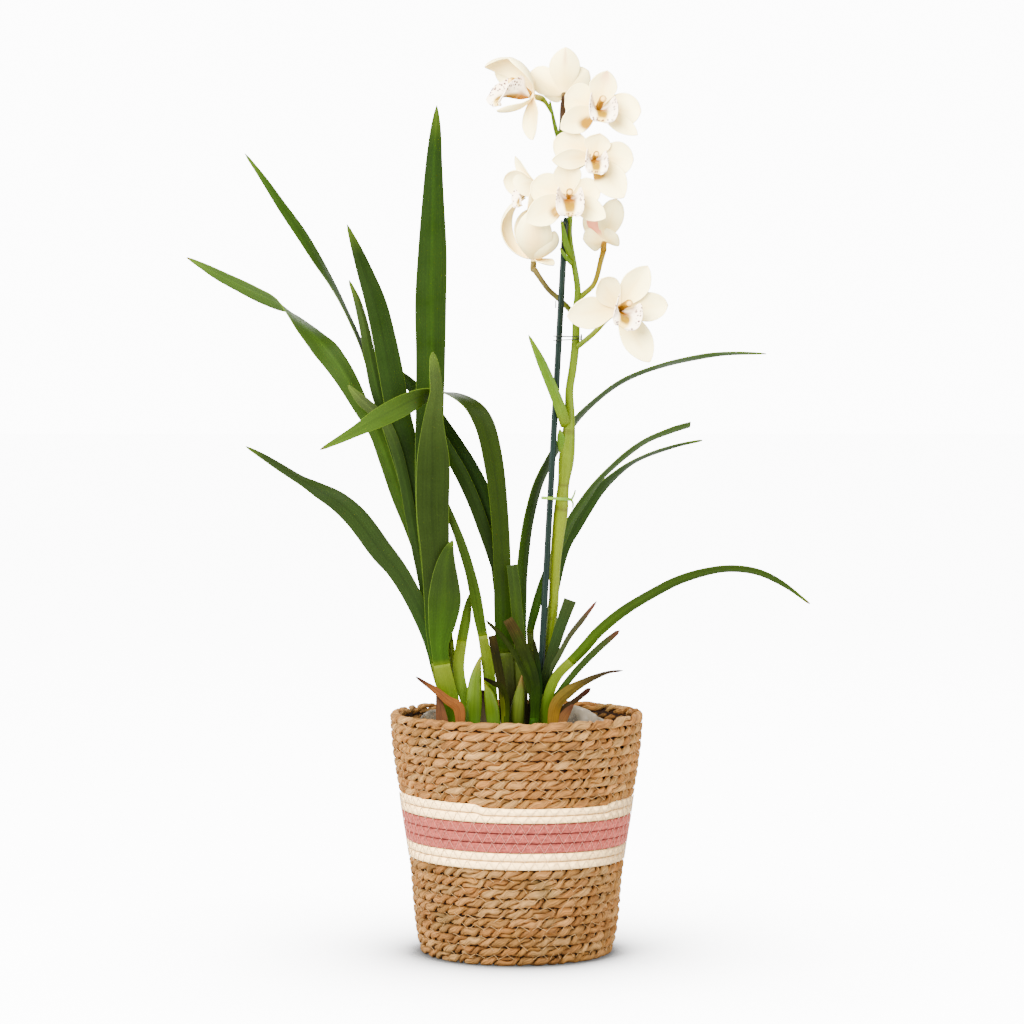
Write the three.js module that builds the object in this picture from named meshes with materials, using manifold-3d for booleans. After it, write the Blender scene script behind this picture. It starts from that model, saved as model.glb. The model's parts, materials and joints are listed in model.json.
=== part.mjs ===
// Potted boat orchid in a coiled seagrass basket, millimetres, +Z up, basket base on z = 0.
// Leaves, stems and flowers are given by x and z on the middle plane, as met by the line
// from a far front point, each with its own depth y.
import * as THREE from 'three';
import Module from 'manifold-3d';

const wasm = await Module();
wasm.setup();

// Main sizes
const BASKET_H = 182;
const BASKET_R = 95.5;
const WALL = 7;
const FLOOR = 6;
const BAND_1 = 72;
const BAND_2 = 85.2;
const BAND_3 = 107.1;
const BAND_4 = 118.5;
const BAND_TILT = 1.5;
const COIL_GROOVE = 1.5;
const BASKET_SIDES = 24;
const LINER_T = 0.8;
const POT_T = 1.4;
const POT_TOP = 158;
const SOIL = 150;
const SOCKET = 136;
const GAP = 0.3;
const BLADE_T = 0.9;
const SHEATH_T = 1.6;
const BLADE_STEPS = 10;
const PETAL_T = 0.8;
const CANE_R = 2.4;
const CANE_TOP = 554;
const EYE_X = -3.4;
const EYE_Y = 2500;
const EYE_Z = 424;

const RAD = Math.PI / 180;

// Small vector helpers
const add = (a, b) => [a[0] + b[0], a[1] + b[1], a[2] + b[2]];
const sub = (a, b) => [a[0] - b[0], a[1] - b[1], a[2] - b[2]];
const mul = (a, s) => [a[0] * s, a[1] * s, a[2] * s];
const dot = (a, b) => a[0] * b[0] + a[1] * b[1] + a[2] * b[2];
const cross = (a, b) => [
  a[1] * b[2] - a[2] * b[1],
  a[2] * b[0] - a[0] * b[2],
  a[0] * b[1] - a[1] * b[0],
];
const unit = (a) => mul(a, 1 / Math.hypot(...a));

// A point seen at (x, z) on the middle plane, moved to its own depth y along the line of sight
function seen(x, y, z) {
  const k = (EYE_Y + y) / EYE_Y;
  return [EYE_X + (x - EYE_X) * k, y, EYE_Z - (EYE_Z - z) * k];
}

// Smooth route through rows of numbers; the first three of each row are its place
function route(rows) {
  const knots = [0];
  for (let i = 1; i < rows.length; i += 1) {
    const d = Math.hypot(...sub(rows[i].slice(0, 3), rows[i - 1].slice(0, 3)));
    knots.push(knots[i - 1] + Math.max(d, 0.01));
  }
  const last = rows.length - 1;
  const slope = (i, k) => {
    const a = Math.max(i - 1, 0);
    const b = Math.min(i + 1, last);
    return (rows[b][k] - rows[a][k]) / (knots[b] - knots[a]);
  };
  const at = (s) => {
    let i = 0;
    while (i < last - 1 && s > knots[i + 1]) {
      i += 1;
    }
    const h = knots[i + 1] - knots[i];
    const t = Math.min(Math.max((s - knots[i]) / h, 0), 1);
    const a = 2 * t ** 3 - 3 * t ** 2 + 1;
    const b = t ** 3 - 2 * t ** 2 + t;
    const c = -2 * t ** 3 + 3 * t ** 2;
    const d = t ** 3 - t ** 2;
    const next = rows[i + 1];
    return rows[i].map((v, k) => a * v + b * h * slope(i, k) + c * next[k] + d * h * slope(i + 1, k));
  };
  return { length: knots[last], at };
}

// Direction of a route at one length
function along(path, s) {
  const ahead = path.at(Math.min(s + 0.6, path.length));
  const behind = path.at(Math.max(s - 0.6, 0));
  return unit(sub(ahead, behind).slice(0, 3));
}

// Closed solid from two facing grids of points, cut into triangles alike on both faces
function slab(top, bottom) {
  const n = top.length;
  const m = top[0].length;
  const points = [...top.flat(), ...bottom.flat()];
  const T = (i, j) => i * m + j;
  const B = (i, j) => n * m + i * m + j;
  const tris = [];
  const quad = (a, b, c, d) => tris.push([a, b, c], [a, c, d]);
  for (let i = 0; i < n - 1; i += 1) {
    for (let j = 0; j < m - 1; j += 1) {
      quad(T(i, j), T(i + 1, j), T(i + 1, j + 1), T(i, j + 1));
      tris.push([B(i, j), B(i + 1, j + 1), B(i + 1, j)], [B(i, j), B(i, j + 1), B(i + 1, j + 1)]);
    }
    quad(T(i, 0), B(i, 0), B(i + 1, 0), T(i + 1, 0));
    quad(T(i, m - 1), T(i + 1, m - 1), B(i + 1, m - 1), B(i, m - 1));
  }
  for (let j = 0; j < m - 1; j += 1) {
    quad(T(0, j), T(0, j + 1), B(0, j + 1), B(0, j));
    quad(T(n - 1, j), B(n - 1, j), B(n - 1, j + 1), T(n - 1, j + 1));
  }
  return { points, tris };
}

// Closed skin over rings of equal count, first and last closed by fans
function skin(rings) {
  const m = rings[0].length;
  const n = rings.length;
  const points = rings.flat();
  const tris = [];
  for (let i = 0; i < n - 1; i += 1) {
    for (let j = 0; j < m; j += 1) {
      const k = (j + 1) % m;
      tris.push([i * m + j, i * m + k, (i + 1) * m + k], [i * m + j, (i + 1) * m + k, (i + 1) * m + j]);
    }
  }
  for (let j = 1; j < m - 1; j += 1) {
    tris.push([0, j + 1, j], [(n - 1) * m, (n - 1) * m + j, (n - 1) * m + j + 1]);
  }
  return { points, tris };
}

// Round or oval stem along a route of rows x, y, z, radius across, radius in depth
function stem(rows, sides, steps) {
  const path = route(rows);
  const rings = [];
  for (let i = 0; i <= steps; i += 1) {
    const s = (path.length * i) / steps;
    const p = path.at(s);
    const t = along(path, s);
    const guide = Math.abs(t[1]) > 0.92 ? [1, 0, 0] : [0, 1, 0];
    const side = unit(cross(guide, t));
    const deep = cross(t, side);
    const ring = [];
    for (let j = 0; j < sides; j += 1) {
      const a = (2 * Math.PI * j) / sides;
      const wide = mul(side, p[3] * Math.cos(a));
      const tall = mul(deep, (p[4] ?? p[3]) * Math.sin(a));
      ring.push(add(p.slice(0, 3), add(wide, tall)));
    }
    rings.push(ring);
  }
  return skin(rings);
}

// Upright oval post with rows z, radius factor
function post(x, y, rx, ry, rows, sides) {
  return skin(rows.map(([z, k]) => {
    const ring = [];
    for (let j = 0; j < sides; j += 1) {
      const a = (2 * Math.PI * j) / sides;
      ring.push([x + rx * k * Math.cos(a), y + ry * k * Math.sin(a), z]);
    }
    return ring;
  }));
}

// Strap leaf piece with a folded midrib, along rows x, y, z, width, roll
function strap(path, from, to, steps, thick, fold) {
  const top = [];
  const bottom = [];
  for (let i = 0; i <= steps; i += 1) {
    const s = from + ((to - from) * i) / steps;
    const p = path.at(s);
    const t = along(path, s);
    const flat = unit(cross(t, [0, 1, 0]));
    const back = cross(t, flat);
    const across = add(mul(flat, Math.cos(p[4] * RAD)), mul(back, Math.sin(p[4] * RAD)));
    const face = cross(t, across);
    const half = Math.max(p[3], 1.2) / 2;
    const h = thick((s - from) / (to - from)) / 2;
    const rowT = [];
    const rowB = [];
    for (const u of [-1, 0, 1]) {
      const rise = mul(face, fold * half * (0.5 - Math.abs(u)));
      const c = add(p.slice(0, 3), add(mul(across, half * u), rise));
      rowT.push(add(c, mul(face, h)));
      rowB.push(sub(c, mul(face, h)));
    }
    top.push(rowT);
    bottom.push(rowB);
  }
  return slab(top, bottom);
}

// Union of closed solids into one
function toManifold({ points, tris }) {
  return new wasm.Manifold(new wasm.Mesh({
    numProp: 3,
    vertProperties: new Float32Array(points.flat()),
    triVerts: new Uint32Array(tris.flat()),
  }));
}

function fromManifold(solid) {
  const mesh = solid.getMesh();
  const points = [];
  const tris = [];
  for (let i = 0; i < mesh.vertProperties.length; i += mesh.numProp) {
    points.push(Array.from(mesh.vertProperties.slice(i, i + 3)));
  }
  for (let i = 0; i < mesh.triVerts.length; i += 3) {
    tris.push(Array.from(mesh.triVerts.slice(i, i + 3)));
  }
  return { points, tris };
}

function fuse(bodies, smooth = 0.12) {
  let all = toManifold(bodies[0]);
  for (const body of bodies.slice(1)) {
    all = all.add(toManifold(body));
  }
  return fromManifold(all.asOriginal().simplify(smooth));
}

const group = new THREE.Group();

function node(name, body, color, roughness) {
  const geometry = new THREE.BufferGeometry();
  geometry.setAttribute('position', new THREE.Float32BufferAttribute(body.points.flat(), 3));
  geometry.setIndex(body.tris.flat());
  geometry.computeVertexNormals();
  const material = new THREE.MeshStandardMaterial({ color, roughness, metalness: 0 });
  const mesh = new THREE.Mesh(geometry, material);
  mesh.name = name;
  group.add(mesh);
}

// Basket profile: radius outside at each height
const SIDE = [[0, 69], [4, 73], [14, 75.5], [24, 77], [44, 78.8], [64, 80.5], [84, 83.3], [104, 86.5],
  [124, 89.3], [144, 92.5], [164, 94.7], [178, 95.5], [182, 94.2]];

function outside(z) {
  let i = 0;
  while (i < SIDE.length - 2 && z > SIDE[i + 1][0]) {
    i += 1;
  }
  const [z0, r0] = SIDE[i];
  const [z1, r1] = SIDE[i + 1];
  return r0 + ((r1 - r0) * (z - z0)) / (z1 - z0);
}

// The woven courses climb a little towards the left
function tilted(x, y, z) {
  const k = Math.sin((Math.PI * Math.min(Math.max(z, 0), BASKET_H)) / BASKET_H);
  return [x, y, z - (BAND_TILT * k * x) / BASKET_R];
}

// Body of revolution from a closed profile of radius and height; radius 0 makes one point
function turned(profile, move) {
  const points = [];
  const start = [];
  for (const [r, z] of profile) {
    start.push(points.length);
    const count = r > 0 ? BASKET_SIDES : 1;
    for (let j = 0; j < count; j += 1) {
      const a = (2 * Math.PI * j) / BASKET_SIDES;
      points.push(move(r * Math.cos(a), r * Math.sin(a), z));
    }
  }
  const tris = [];
  const n = profile.length;
  for (let i = 0; i < n; i += 1) {
    const k = (i + 1) % n;
    for (let j = 0; j < BASKET_SIDES; j += 1) {
      const l = (j + 1) % BASKET_SIDES;
      const a = profile[i][0] > 0;
      const b = profile[k][0] > 0;
      if (a && b) {
        tris.push([start[i] + j, start[i] + l, start[k] + l], [start[i] + j, start[k] + l, start[k] + j]);
      } else if (a) {
        tris.push([start[i] + j, start[i] + l, start[k]]);
      } else if (b) {
        tris.push([start[i], start[k] + l, start[k] + j]);
      }
    }
  }
  return { points, tris };
}

const inside = (z) => outside(z) - WALL;

function coilWall(z0, z1, courses, groove) {
  const rows = [];
  const step = (z1 - z0) / courses;
  for (let i = 0; i <= courses; i += 1) {
    rows.push([outside(z0 + i * step) - groove, z0 + i * step]);
    if (i < courses) {
      rows.push([outside(z0 + (i + 0.5) * step), z0 + (i + 0.5) * step]);
    }
  }
  return rows;
}

function innerWall(z1, z0, count) {
  const rows = [];
  for (let i = 0; i <= count; i += 1) {
    const z = z1 + ((z0 - z1) * i) / count;
    rows.push([inside(z), z]);
  }
  return rows;
}

const SEAGRASS = 0xc79b6a;
const CREAM = 0xf3e6d3;
const PINK = 0xd58e85;
const lowerWall = coilWall(7.2, BAND_1, 9, COIL_GROOVE);
const upperWall = coilWall(BAND_4, BASKET_H - 0.8, 9, COIL_GROOVE);
node('basket_lower_coils', turned([
  [0, 0], [66, 0], [72.6, 2.6], ...lowerWall, ...innerWall(BAND_1, FLOOR + 4, 2),
  [inside(FLOOR) - 3, FLOOR], [0, FLOOR],
], tilted), SEAGRASS, 0.85);
const bands = [
  ['basket_cream_band_lower', BAND_1, BAND_2, CREAM],
  ['basket_pink_band', BAND_2, BAND_3, PINK],
  ['basket_cream_band_upper', BAND_3, BAND_4, CREAM],
];
for (const [name, z0, z1, color] of bands) {
  node(name, turned([
    [outside(z0) - COIL_GROOVE, z0], [outside(z0 + 2.5), z0 + 2.5], [outside(z1 - 2.5), z1 - 2.5],
    [outside(z1) - COIL_GROOVE, z1], ...innerWall(z1, z0, 1),
  ], tilted), color, 0.85);
}
node('basket_upper_coils', turned([
  ...upperWall, [BASKET_R - 3.8, BASKET_H], ...innerWall(BASKET_H - 1.5, BAND_4, 3),
], tilted), SEAGRASS, 0.85);

// Film liner that stands against the inner wall, its open edge waved
const LINER_EDGE = [[0, 168], [30, 168], [60, 179.5], [90, 176], [120, 172], [145, 178.5], [170, 171],
  [200, 168], [270, 166], [330, 167], [360, 168]];

function linerEdge(x, y) {
  const deg = (Math.atan2(y, x) / RAD + 360) % 360;
  let i = 0;
  while (i < LINER_EDGE.length - 2 && deg > LINER_EDGE[i + 1][0]) {
    i += 1;
  }
  const [a0, z0] = LINER_EDGE[i];
  const [a1, z1] = LINER_EDGE[i + 1];
  const t = (deg - a0) / (a1 - a0);
  return z0 + (z1 - z0) * t * t * (3 - 2 * t);
}

const linerR = (z) => inside(z) - GAP - 0.4;
const linerOut = [[0, FLOOR + GAP], [linerR(FLOOR) - 4, FLOOR + GAP]];
const linerIn = [[0, FLOOR + GAP + LINER_T], [linerR(FLOOR) - 4.4, FLOOR + GAP + LINER_T]];
for (const z of [14, 64, 144, 168]) {
  linerOut.push([linerR(z), z]);
  linerIn.push([linerR(z) - LINER_T, z]);
}
node('liner', turned([...linerOut, ...linerIn.reverse()], (x, y, z) => {
  const k = z > 150 ? linerEdge(x, y) - 168 : 0;
  return [x, y, z + k];
}), 0xb9b4aa, 0.25);

// Plastic pot and its bark filling
const POT_Z = FLOOR + 2 * GAP + LINER_T;
const potR = (z) => 60 + ((z - POT_Z) * 18) / (POT_TOP - POT_Z);
node('nursery_pot', turned([
  [0, POT_Z], [potR(POT_Z), POT_Z], [potR(80), 80], [potR(POT_TOP - 8), POT_TOP - 8],
  [potR(POT_TOP - 8) + 1.6, POT_TOP - 8], [potR(POT_TOP) + 1.6, POT_TOP], [potR(POT_TOP) - POT_T, POT_TOP],
  [potR(80) - POT_T, 80], [potR(POT_Z) - POT_T, POT_Z + POT_T], [0, POT_Z + POT_T],
], (x, y, z) => [x, y, z]), 0x2c2623, 0.5);

// Where the cane, spike and shoots stand in the bark: centre, radii, depth
const SHOOT_A = [-49, 0, 11, 16];
const SHOOT_B = [-26, -11.5, 13, 7];
const SHOOT_C = [2, 6, 13, 9];
const SHOOT_D = [26.5, -11, 7, 6.5];
const STUB_L = [-8, -16, 3.2, 3.2];
const STUB_C = [13, -17.5, 3.8, 3.8];
const BRACT_L = [-54, -20.6, 5, 2];
const BRACT_R = [33, -20.6, 6, 2];
const caneAt = (z) => [seen(20.9 + 0.0545 * (z - 260), 0, z)[0], -4 + (4 * (z - 150)) / 404, z];
const SPIKE_FOOT = [21.5, 3.5, 4];

const soilR = (z) => potR(z) - POT_T - GAP;
let soil = toManifold(turned([
  [0, POT_Z + POT_T + GAP], [soilR(POT_Z) - 0.4, POT_Z + POT_T + GAP], [soilR(SOIL), SOIL], [0, SOIL],
], (x, y, z) => [x, y, z]));
const OPEN = [[SOCKET, 1], [SOIL + 5, 1]];
for (const [x, y, rx, ry] of [SHOOT_A, SHOOT_B, SHOOT_C, SHOOT_D, STUB_L, STUB_C, BRACT_L, BRACT_R]) {
  soil = soil.subtract(toManifold(post(x, y, rx + GAP, ry + GAP, OPEN, rx > 5 ? 12 : 8)));
}
soil = soil.subtract(toManifold(post(SPIKE_FOOT[0], SPIKE_FOOT[1], 4 + GAP, 4 + GAP, OPEN, 10)));
soil = soil.subtract(toManifold(skin([caneAt(60), caneAt(SOIL + 5)].map((c) => {
  const ring = [];
  for (let j = 0; j < 8; j += 1) {
    const a = (Math.PI * j) / 4;
    ring.push([c[0] + (CANE_R + GAP + 0.1) * Math.cos(a), c[1] + (CANE_R + GAP + 0.1) * Math.sin(a), c[2]]);
  }
  return ring;
}))));
node('bark_mix', fromManifold(soil), 0x4a3324, 0.95);

// Support cane, straight and leaning a little to the right
node('support_cane', skin([60.3, 200, CANE_TOP - 1.2, CANE_TOP].map((z) => {
  const c = caneAt(z);
  const r = z === CANE_TOP ? CANE_R - 1 : CANE_R;
  const ring = [];
  for (let j = 0; j < 8; j += 1) {
    const a = (Math.PI * j) / 4;
    ring.push([c[0] + r * Math.cos(a), c[1] + r * Math.sin(a), z]);
  }
  return ring;
})), 0x23403a, 0.4);

// Leaves: rows x, z, width, roll, y from the bulb to the tip, joint = height where the sheath ends
const GREEN = 0x4a6b22;
const DEEP = 0x3f5e17;
const LEAVES = {
  a7: { shoot: 'a', joint: 217, fold: 0.16, color: GREEN, rows: [
    [-48, 160, 16, 0, -9], [-50, 185, 15, 0, -13], [-54, 205, 13.5, 0, -15.5],
    [-56.5, 217, 12.5, 0, -16.5], [-58, 230, 13, 0, -17], [-57.5, 240, 17, 0, -17.3],
    [-56, 250, 21, 0, -17.6], [-54.3, 265, 24.5, 0, -18], [-54, 280, 20.5, 0, -18.5],
    [-53.3, 292, 15, 0, -19], [-51.5, 302, 9, 0, -19], [-48.3, 311, 1.6, 0, -19]] },
  a6: { shoot: 'a', joint: 219, fold: 0.14, color: DEEP, rows: [
    [-48, 160, 15, 0, -6], [-51, 190, 14, 0, -9], [-57, 215, 13, 0, -12], [-61, 240, 14, 0, -12.6],
    [-61.5, 270, 17, 0, -13], [-61.5, 300, 21, 0, -13.5], [-63.2, 335, 24.5, 0, -14.3],
    [-62.8, 370, 24.5, 0, -16], [-63, 390, 19, 0, -17.6], [-62.3, 408, 13, 10, -19.6],
    [-60.4, 422, 10.5, 25, -21.5], [-61.3, 437, 9.5, 30, -23], [-63.2, 453, 4, 30, -24.5]] },
  a5: { shoot: 'a', joint: 222, fold: 0.12, color: GREEN, rows: [
    [-48, 160, 15, 0, 0], [-51, 195, 13, 0, -2.6], [-56.5, 222, 12.5, 0, -3], [-60, 255, 14, 0, -3],
    [-63, 290, 17, 0, -3], [-65.5, 330, 20, 0, -3], [-66, 370, 21, 0, -2.6], [-65.4, 410, 21, 0, -2],
    [-64.7, 450, 22, 0, -1], [-64.6, 490, 23.4, 0, 0], [-63.4, 525, 22, 0, 2], [-62.8, 560, 17.5, 0, 4],
    [-62, 595, 12.4, 0, 7], [-60.7, 620, 8, 0, 9], [-60, 638, 1.4, 0, 11]] },
  a9: { shoot: 'a', joint: 212, fold: 0.16, color: DEEP, rows: [
    [-48, 160, 13, 0, -3], [-52, 190, 12, 0, -6], [-58, 212, 12, 0, -7.6], [-63, 232, 12.5, 0, -8],
    [-69, 249, 13.5, 0, -8.3], [-80, 271.5, 14, 0, -11], [-91, 289.5, 15, 0, -14],
    [-102, 303, 17, 0, -18], [-119.5, 326.5, 17, 0, -26], [-134, 340, 15, 8, -32],
    [-150, 349.5, 12, 28, -38], [-163, 357, 9, 50, -43], [-180, 367.5, 7, 40, -49],
    [-192, 375, 5, 40, -54], [-204, 382, 1.4, 40, -58]] },
  a8: { shoot: 'a', joint: 226, fold: 0.16, color: GREEN, rows: [
    [-48, 160, 10, 0, 2], [-51, 195, 9, 0, 1.4], [-57, 226, 9, 0, 0.8], [-66, 262, 9, 0, 0.6],
    [-73, 295, 8.6, 0, 0.6], [-79, 325, 8.4, 0, 0.6], [-84.5, 355, 8, 0, 0.6], [-90, 378, 8, 0, 0.6],
    [-98, 398, 8, 0, 1], [-108, 409, 8.5, 0, 2], [-118, 418, 7.5, 0, 5], [-127, 428, 2, 0, 8]] },
  a3: { shoot: 'a', joint: 228, fold: 0.14, color: DEEP, rows: [
    [-48, 160, 14, 0, 4], [-51, 195, 12, 0, 4.4], [-55.6, 228, 12, 0, 4.4], [-61, 262, 13, 0, 4.4],
    [-66.5, 300, 14.5, 0, 4.4], [-72.5, 335, 16, 0, 4.4], [-80, 370, 17.5, 0, 4.4],
    [-88.6, 405, 18.4, 0, 4.4], [-95, 440, 18.4, 0, 5], [-100, 465, 17.6, 0, 6], [-106, 490, 16, 0, 8],
    [-114.7, 515, 11.6, 0, 11], [-121, 532, 7.4, 0, 13], [-127.5, 549, 1.4, 0, 16]] },
  a4: { shoot: 'a', joint: 230, fold: 0.14, color: GREEN, rows: [
    [-48, 160, 11, 0, 7], [-50.5, 195, 10, 0, 8], [-55, 230, 10, 0, 8.2], [-61, 262, 10, 0, 8.2],
    [-69, 300, 10, 0, 8.2], [-77, 335, 10, 0, 8.2], [-87.5, 370, 10.4, 0, 8.2],
    [-97, 400, 10.4, 0, 8.4], [-105, 425, 10.4, 0, 8.6], [-110, 447, 9, 0, 9],
    [-114.3, 470, 7.6, 0, 12], [-120, 492, 5.4, 0, 18], [-126, 507, 1.4, 0, 22]] },
  a2: { shoot: 'a', joint: 232, fold: 0.14, color: GREEN, rows: [
    [-48, 160, 10, 0, 10], [-50, 195, 9, 0, 11.6], [-54, 232, 9, 0, 12], [-59.5, 262, 9, 0, 12],
    [-67.5, 295, 9, 0, 12], [-77, 330, 9, 0, 12.2], [-87, 365, 9, 10, 13], [-96, 393, 9, 30, 14.4],
    [-104, 416, 9, 55, 16.4], [-110, 437, 9, 70, 17.5], [-118, 462, 9, 74, 18], [-130, 488, 9, 72, 20],
    [-140, 506.7, 10, 62, 24], [-150, 522.7, 10, 48, 28], [-162, 542, 10, 36, 33],
    [-176, 562, 8, 28, 38], [-190, 582.7, 5, 20, 43], [-204, 602, 1.4, 10, 48]] },
  a1: { shoot: 'a', joint: 234, fold: 0.14, color: DEEP, rows: [
    [-48, 160, 12, 0, 13], [-49.5, 195, 11, 0, 15], [-53, 234, 11, 0, 16], [-59, 262, 11, 0, 16],
    [-68, 290, 11, 0, 16], [-79, 320, 11, 0, 16.2], [-89, 345, 11.4, 0, 16.6],
    [-98, 372, 11.8, 0, 17.4], [-106, 393, 11, 0, 19], [-116.5, 411, 12.6, 0, 22],
    [-129, 434, 16.4, 0, 26], [-140, 450, 18.4, 0, 30], [-150, 461.5, 18.4, 34, 34],
    [-160, 472, 18, 56, 38], [-170, 482.5, 17.6, 82, 42], [-181, 490, 17, 118, 46],
    [-195, 496.7, 16, 128, 52], [-210, 504, 13.2, 134, 58], [-228, 513, 9.6, 138, 65],
    [-248, 524, 1.4, 140, 72]] },
  b12: { shoot: 'b', joint: 239, fold: 0.16, color: GREEN, rows: [
    [-19, 160, 12, 0, -10], [-19.3, 185, 11, 0, -10.4], [-19.8, 200, 9.5, 0, -10.6],
    [-22.3, 220, 8.5, 0, -10.6], [-25.5, 239, 7.2, 0, -10.6], [-28, 252, 8, 0, -10.4],
    [-31, 269, 8.4, 0, -10.2], [-35, 287, 7.4, 0, -9.8], [-40.5, 305, 7, 0, -9.2],
    [-47, 322.5, 6, 0, -8.4], [-54, 338, 6, 0, -7.6], [-60, 356, 1.4, 0, -7.2]] },
  b13: { shoot: 'b', joint: 235, fold: 0.16, color: GREEN, rows: [
    [-32, 160, 10, 0, -11.5], [-35.6, 180, 8.4, 0, -12], [-41.4, 200, 8, 0, -10.6],
    [-43.8, 215, 8.6, 0, -8.6], [-41.3, 235, 8, 0, -7], [-38.4, 250, 7.6, 0, -6.4],
    [-36.8, 261, 5.6, 0, -6], [-35.4, 270, 1.4, 0, -5.6]] },
  c10: { shoot: 'c', joint: 226, fold: 0.14, color: DEEP, rows: [
    [-4, 160, 13, 0, 4], [-7, 190, 13, 0, 2], [-9, 226, 13, 0, 0.6], [-10.4, 260, 13, 0, 0],
    [-11, 300, 13, 0, 0], [-13.5, 340, 13.4, 0, -1], [-17, 368, 14.6, 0, -3], [-22.5, 394, 15, 8, -5.5],
    [-28.5, 407, 15, 28, -7.5], [-37, 415.6, 14.4, 55, -9.5], [-47, 420.8, 13.6, 74, -11],
    [-57, 422.8, 13, 96, -12], [-66, 421.8, 13, 128, -13], [-76, 417.5, 14.4, 160, -15],
    [-88, 411.5, 16, 178, -18], [-104, 403.2, 14.4, 180, -23], [-121, 393.6, 8.6, 180, -28],
    [-136, 385.6, 5, 180, -32], [-148, 379.5, 1.4, 180, -35]] },
  ca: { shoot: 'c', joint: 230, fold: 0.14, color: 0x2f470f, rows: [
    [-3, 160, 10, 0, 8], [-5, 195, 10, 0, 8], [-7.5, 230, 10, 0, 8.4], [-11, 262, 10, 0, 9],
    [-14.4, 292, 10, 0, 9.6], [-18, 320, 10, 0, 10.4], [-25.5, 349, 10, 0, 12],
    [-34.2, 366.5, 10, 0, 13.6], [-44.2, 382.2, 10, 0, 18], [-54.6, 397.3, 10, 0, 23],
    [-66, 413, 10, 0, 29], [-78, 426.6, 9.4, 0, 36], [-88, 435.6, 7, 0, 42], [-97, 443, 1.4, 0, 47]] },
  cb: { shoot: 'c', joint: 224, fold: 0.14, color: 0x38560f, rows: [
    [-2, 160, 9.5, 0, 5.5], [-4, 190, 9.5, 0, 5], [-6, 224, 9.5, 0, 4.6], [-8.6, 262, 9.5, 0, 4.6],
    [-12.6, 284, 9.5, 0, 4.6], [-18.5, 303, 9.5, 0, 4.8], [-25.6, 323, 9.6, 0, 5],
    [-32.4, 341, 9.8, 0, 5.4], [-40, 358, 10, 0, 6], [-47.5, 372, 9.4, 0, 6.6], [-55, 386, 7, 0, 7],
    [-62, 399, 1.4, 0, 7.4]] },
  c14: { shoot: 'c', joint: 219, fold: 0.16, color: GREEN, rows: [
    [4.5, 160, 9, 0, 0], [4.4, 190, 8.6, 0, -3], [3.2, 219, 8, 0, -5.4], [1.6, 243, 8.6, 0, -6],
    [0, 260, 8.6, 0, -6.2], [-1.4, 276, 8.6, 0, -6.4], [-3.4, 292.5, 8, 0, -6.6]] },
  c15: { shoot: 'c', joint: 221, fold: 0.14, color: DEEP, rows: [
    [3, 160, 9, 0, 3], [2.6, 190, 9, 10, 3], [2.6, 221, 10, 20, 3.4], [3.2, 250, 11, 38, 4.6],
    [4.4, 285, 11.6, 46, 8], [8.4, 320, 12, 50, 13], [15.4, 350, 12, 54, 18], [25, 371, 12, 58, 21],
    [36, 389, 12, 64, 25], [48, 405, 12, 68, 28], [63, 419, 12, 72, 33], [82, 431.8, 12, 74, 39],
    [105, 441, 12, 74, 46], [132, 447.8, 12, 74, 53], [160, 451.5, 9, 72, 60],
    [188, 451.5, 1.4, 72, 66]] },
  c16: { shoot: 'c', joint: 241, fold: 0.14, color: GREEN, rows: [
    [10, 160, 7, 0, 5], [12, 190, 6, 0, 5], [12.6, 220, 5.6, 0, 5], [10.4, 241, 5.6, 0, 5.4],
    [13.4, 256, 7, 10, 7], [18.6, 274, 7.6, 25, 9.4], [25.4, 292, 8, 38, 12.2],
    [33.4, 309, 8.6, 44, 13], [41, 325.5, 9, 46, 13], [51, 341, 9, 50, 14], [61, 354.5, 9, 58, 17],
    [71, 365, 9, 62, 20], [84, 376.4, 9, 66, 25], [99, 386.6, 9, 64, 31], [116, 393.6, 9, 58, 37],
    [131, 398.3, 6.6, 52, 42]] },
  c17: { shoot: 'c', joint: 217, fold: 0.14, color: DEEP, rows: [
    [13, 160, 6, 0, 9], [16, 190, 6, 0, 10.4], [20, 217, 6, 0, 11.6], [25, 250, 6.4, 10, 14.4],
    [31, 284, 7.4, 20, 18.6], [37, 306.5, 8.6, 24, 21], [45, 321.5, 10, 26, 23],
    [53, 335.5, 11, 30, 26], [61.5, 347.4, 11, 42, 30], [72, 358, 11, 58, 34], [86, 368.4, 10, 68, 41],
    [102, 376.2, 9, 72, 48], [121, 382.3, 6, 66, 56], [140, 386.5, 1.4, 60, 63]] },
  d18: { shoot: 'd', joint: 219.3, fold: 0.16, color: GREEN, rows: [
    [25, 160, 10, 0, -12], [22.6, 178, 9, 0, -14.4], [24, 192, 8, 0, -15.4], [27.6, 203, 7.6, 0, -15.8],
    [33, 211.6, 7.4, 0, -16], [41, 219.3, 7.4, 0, -16], [50, 228.4, 8, 0, -16], [62, 242, 8, 0, -18],
    [80, 257, 7.8, 0, -23], [100, 269.4, 7.2, 0, -29], [122, 280.6, 7.4, 24, -36],
    [145, 287.6, 7.4, 38, -43], [165, 289.6, 7.2, 44, -50], [183, 286.6, 7, 48, -55],
    [202, 277.4, 5, 48, -60], [221.5, 263, 1.4, 48, -64]] },
};

const SHEATH = 0x9daf2f;
const sheaths = { a: [], b: [], c: [], d: [] };
const sheathT = (u) => SHEATH_T + 1.4 - 1.4 * u;
const bladeT = (u) => BLADE_T - 0.2 * u;

function jointLength(path, height) {
  let s = 0;
  while (s < path.length && path.at(s)[2] < height) {
    s += 0.25;
  }
  return s;
}

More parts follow.
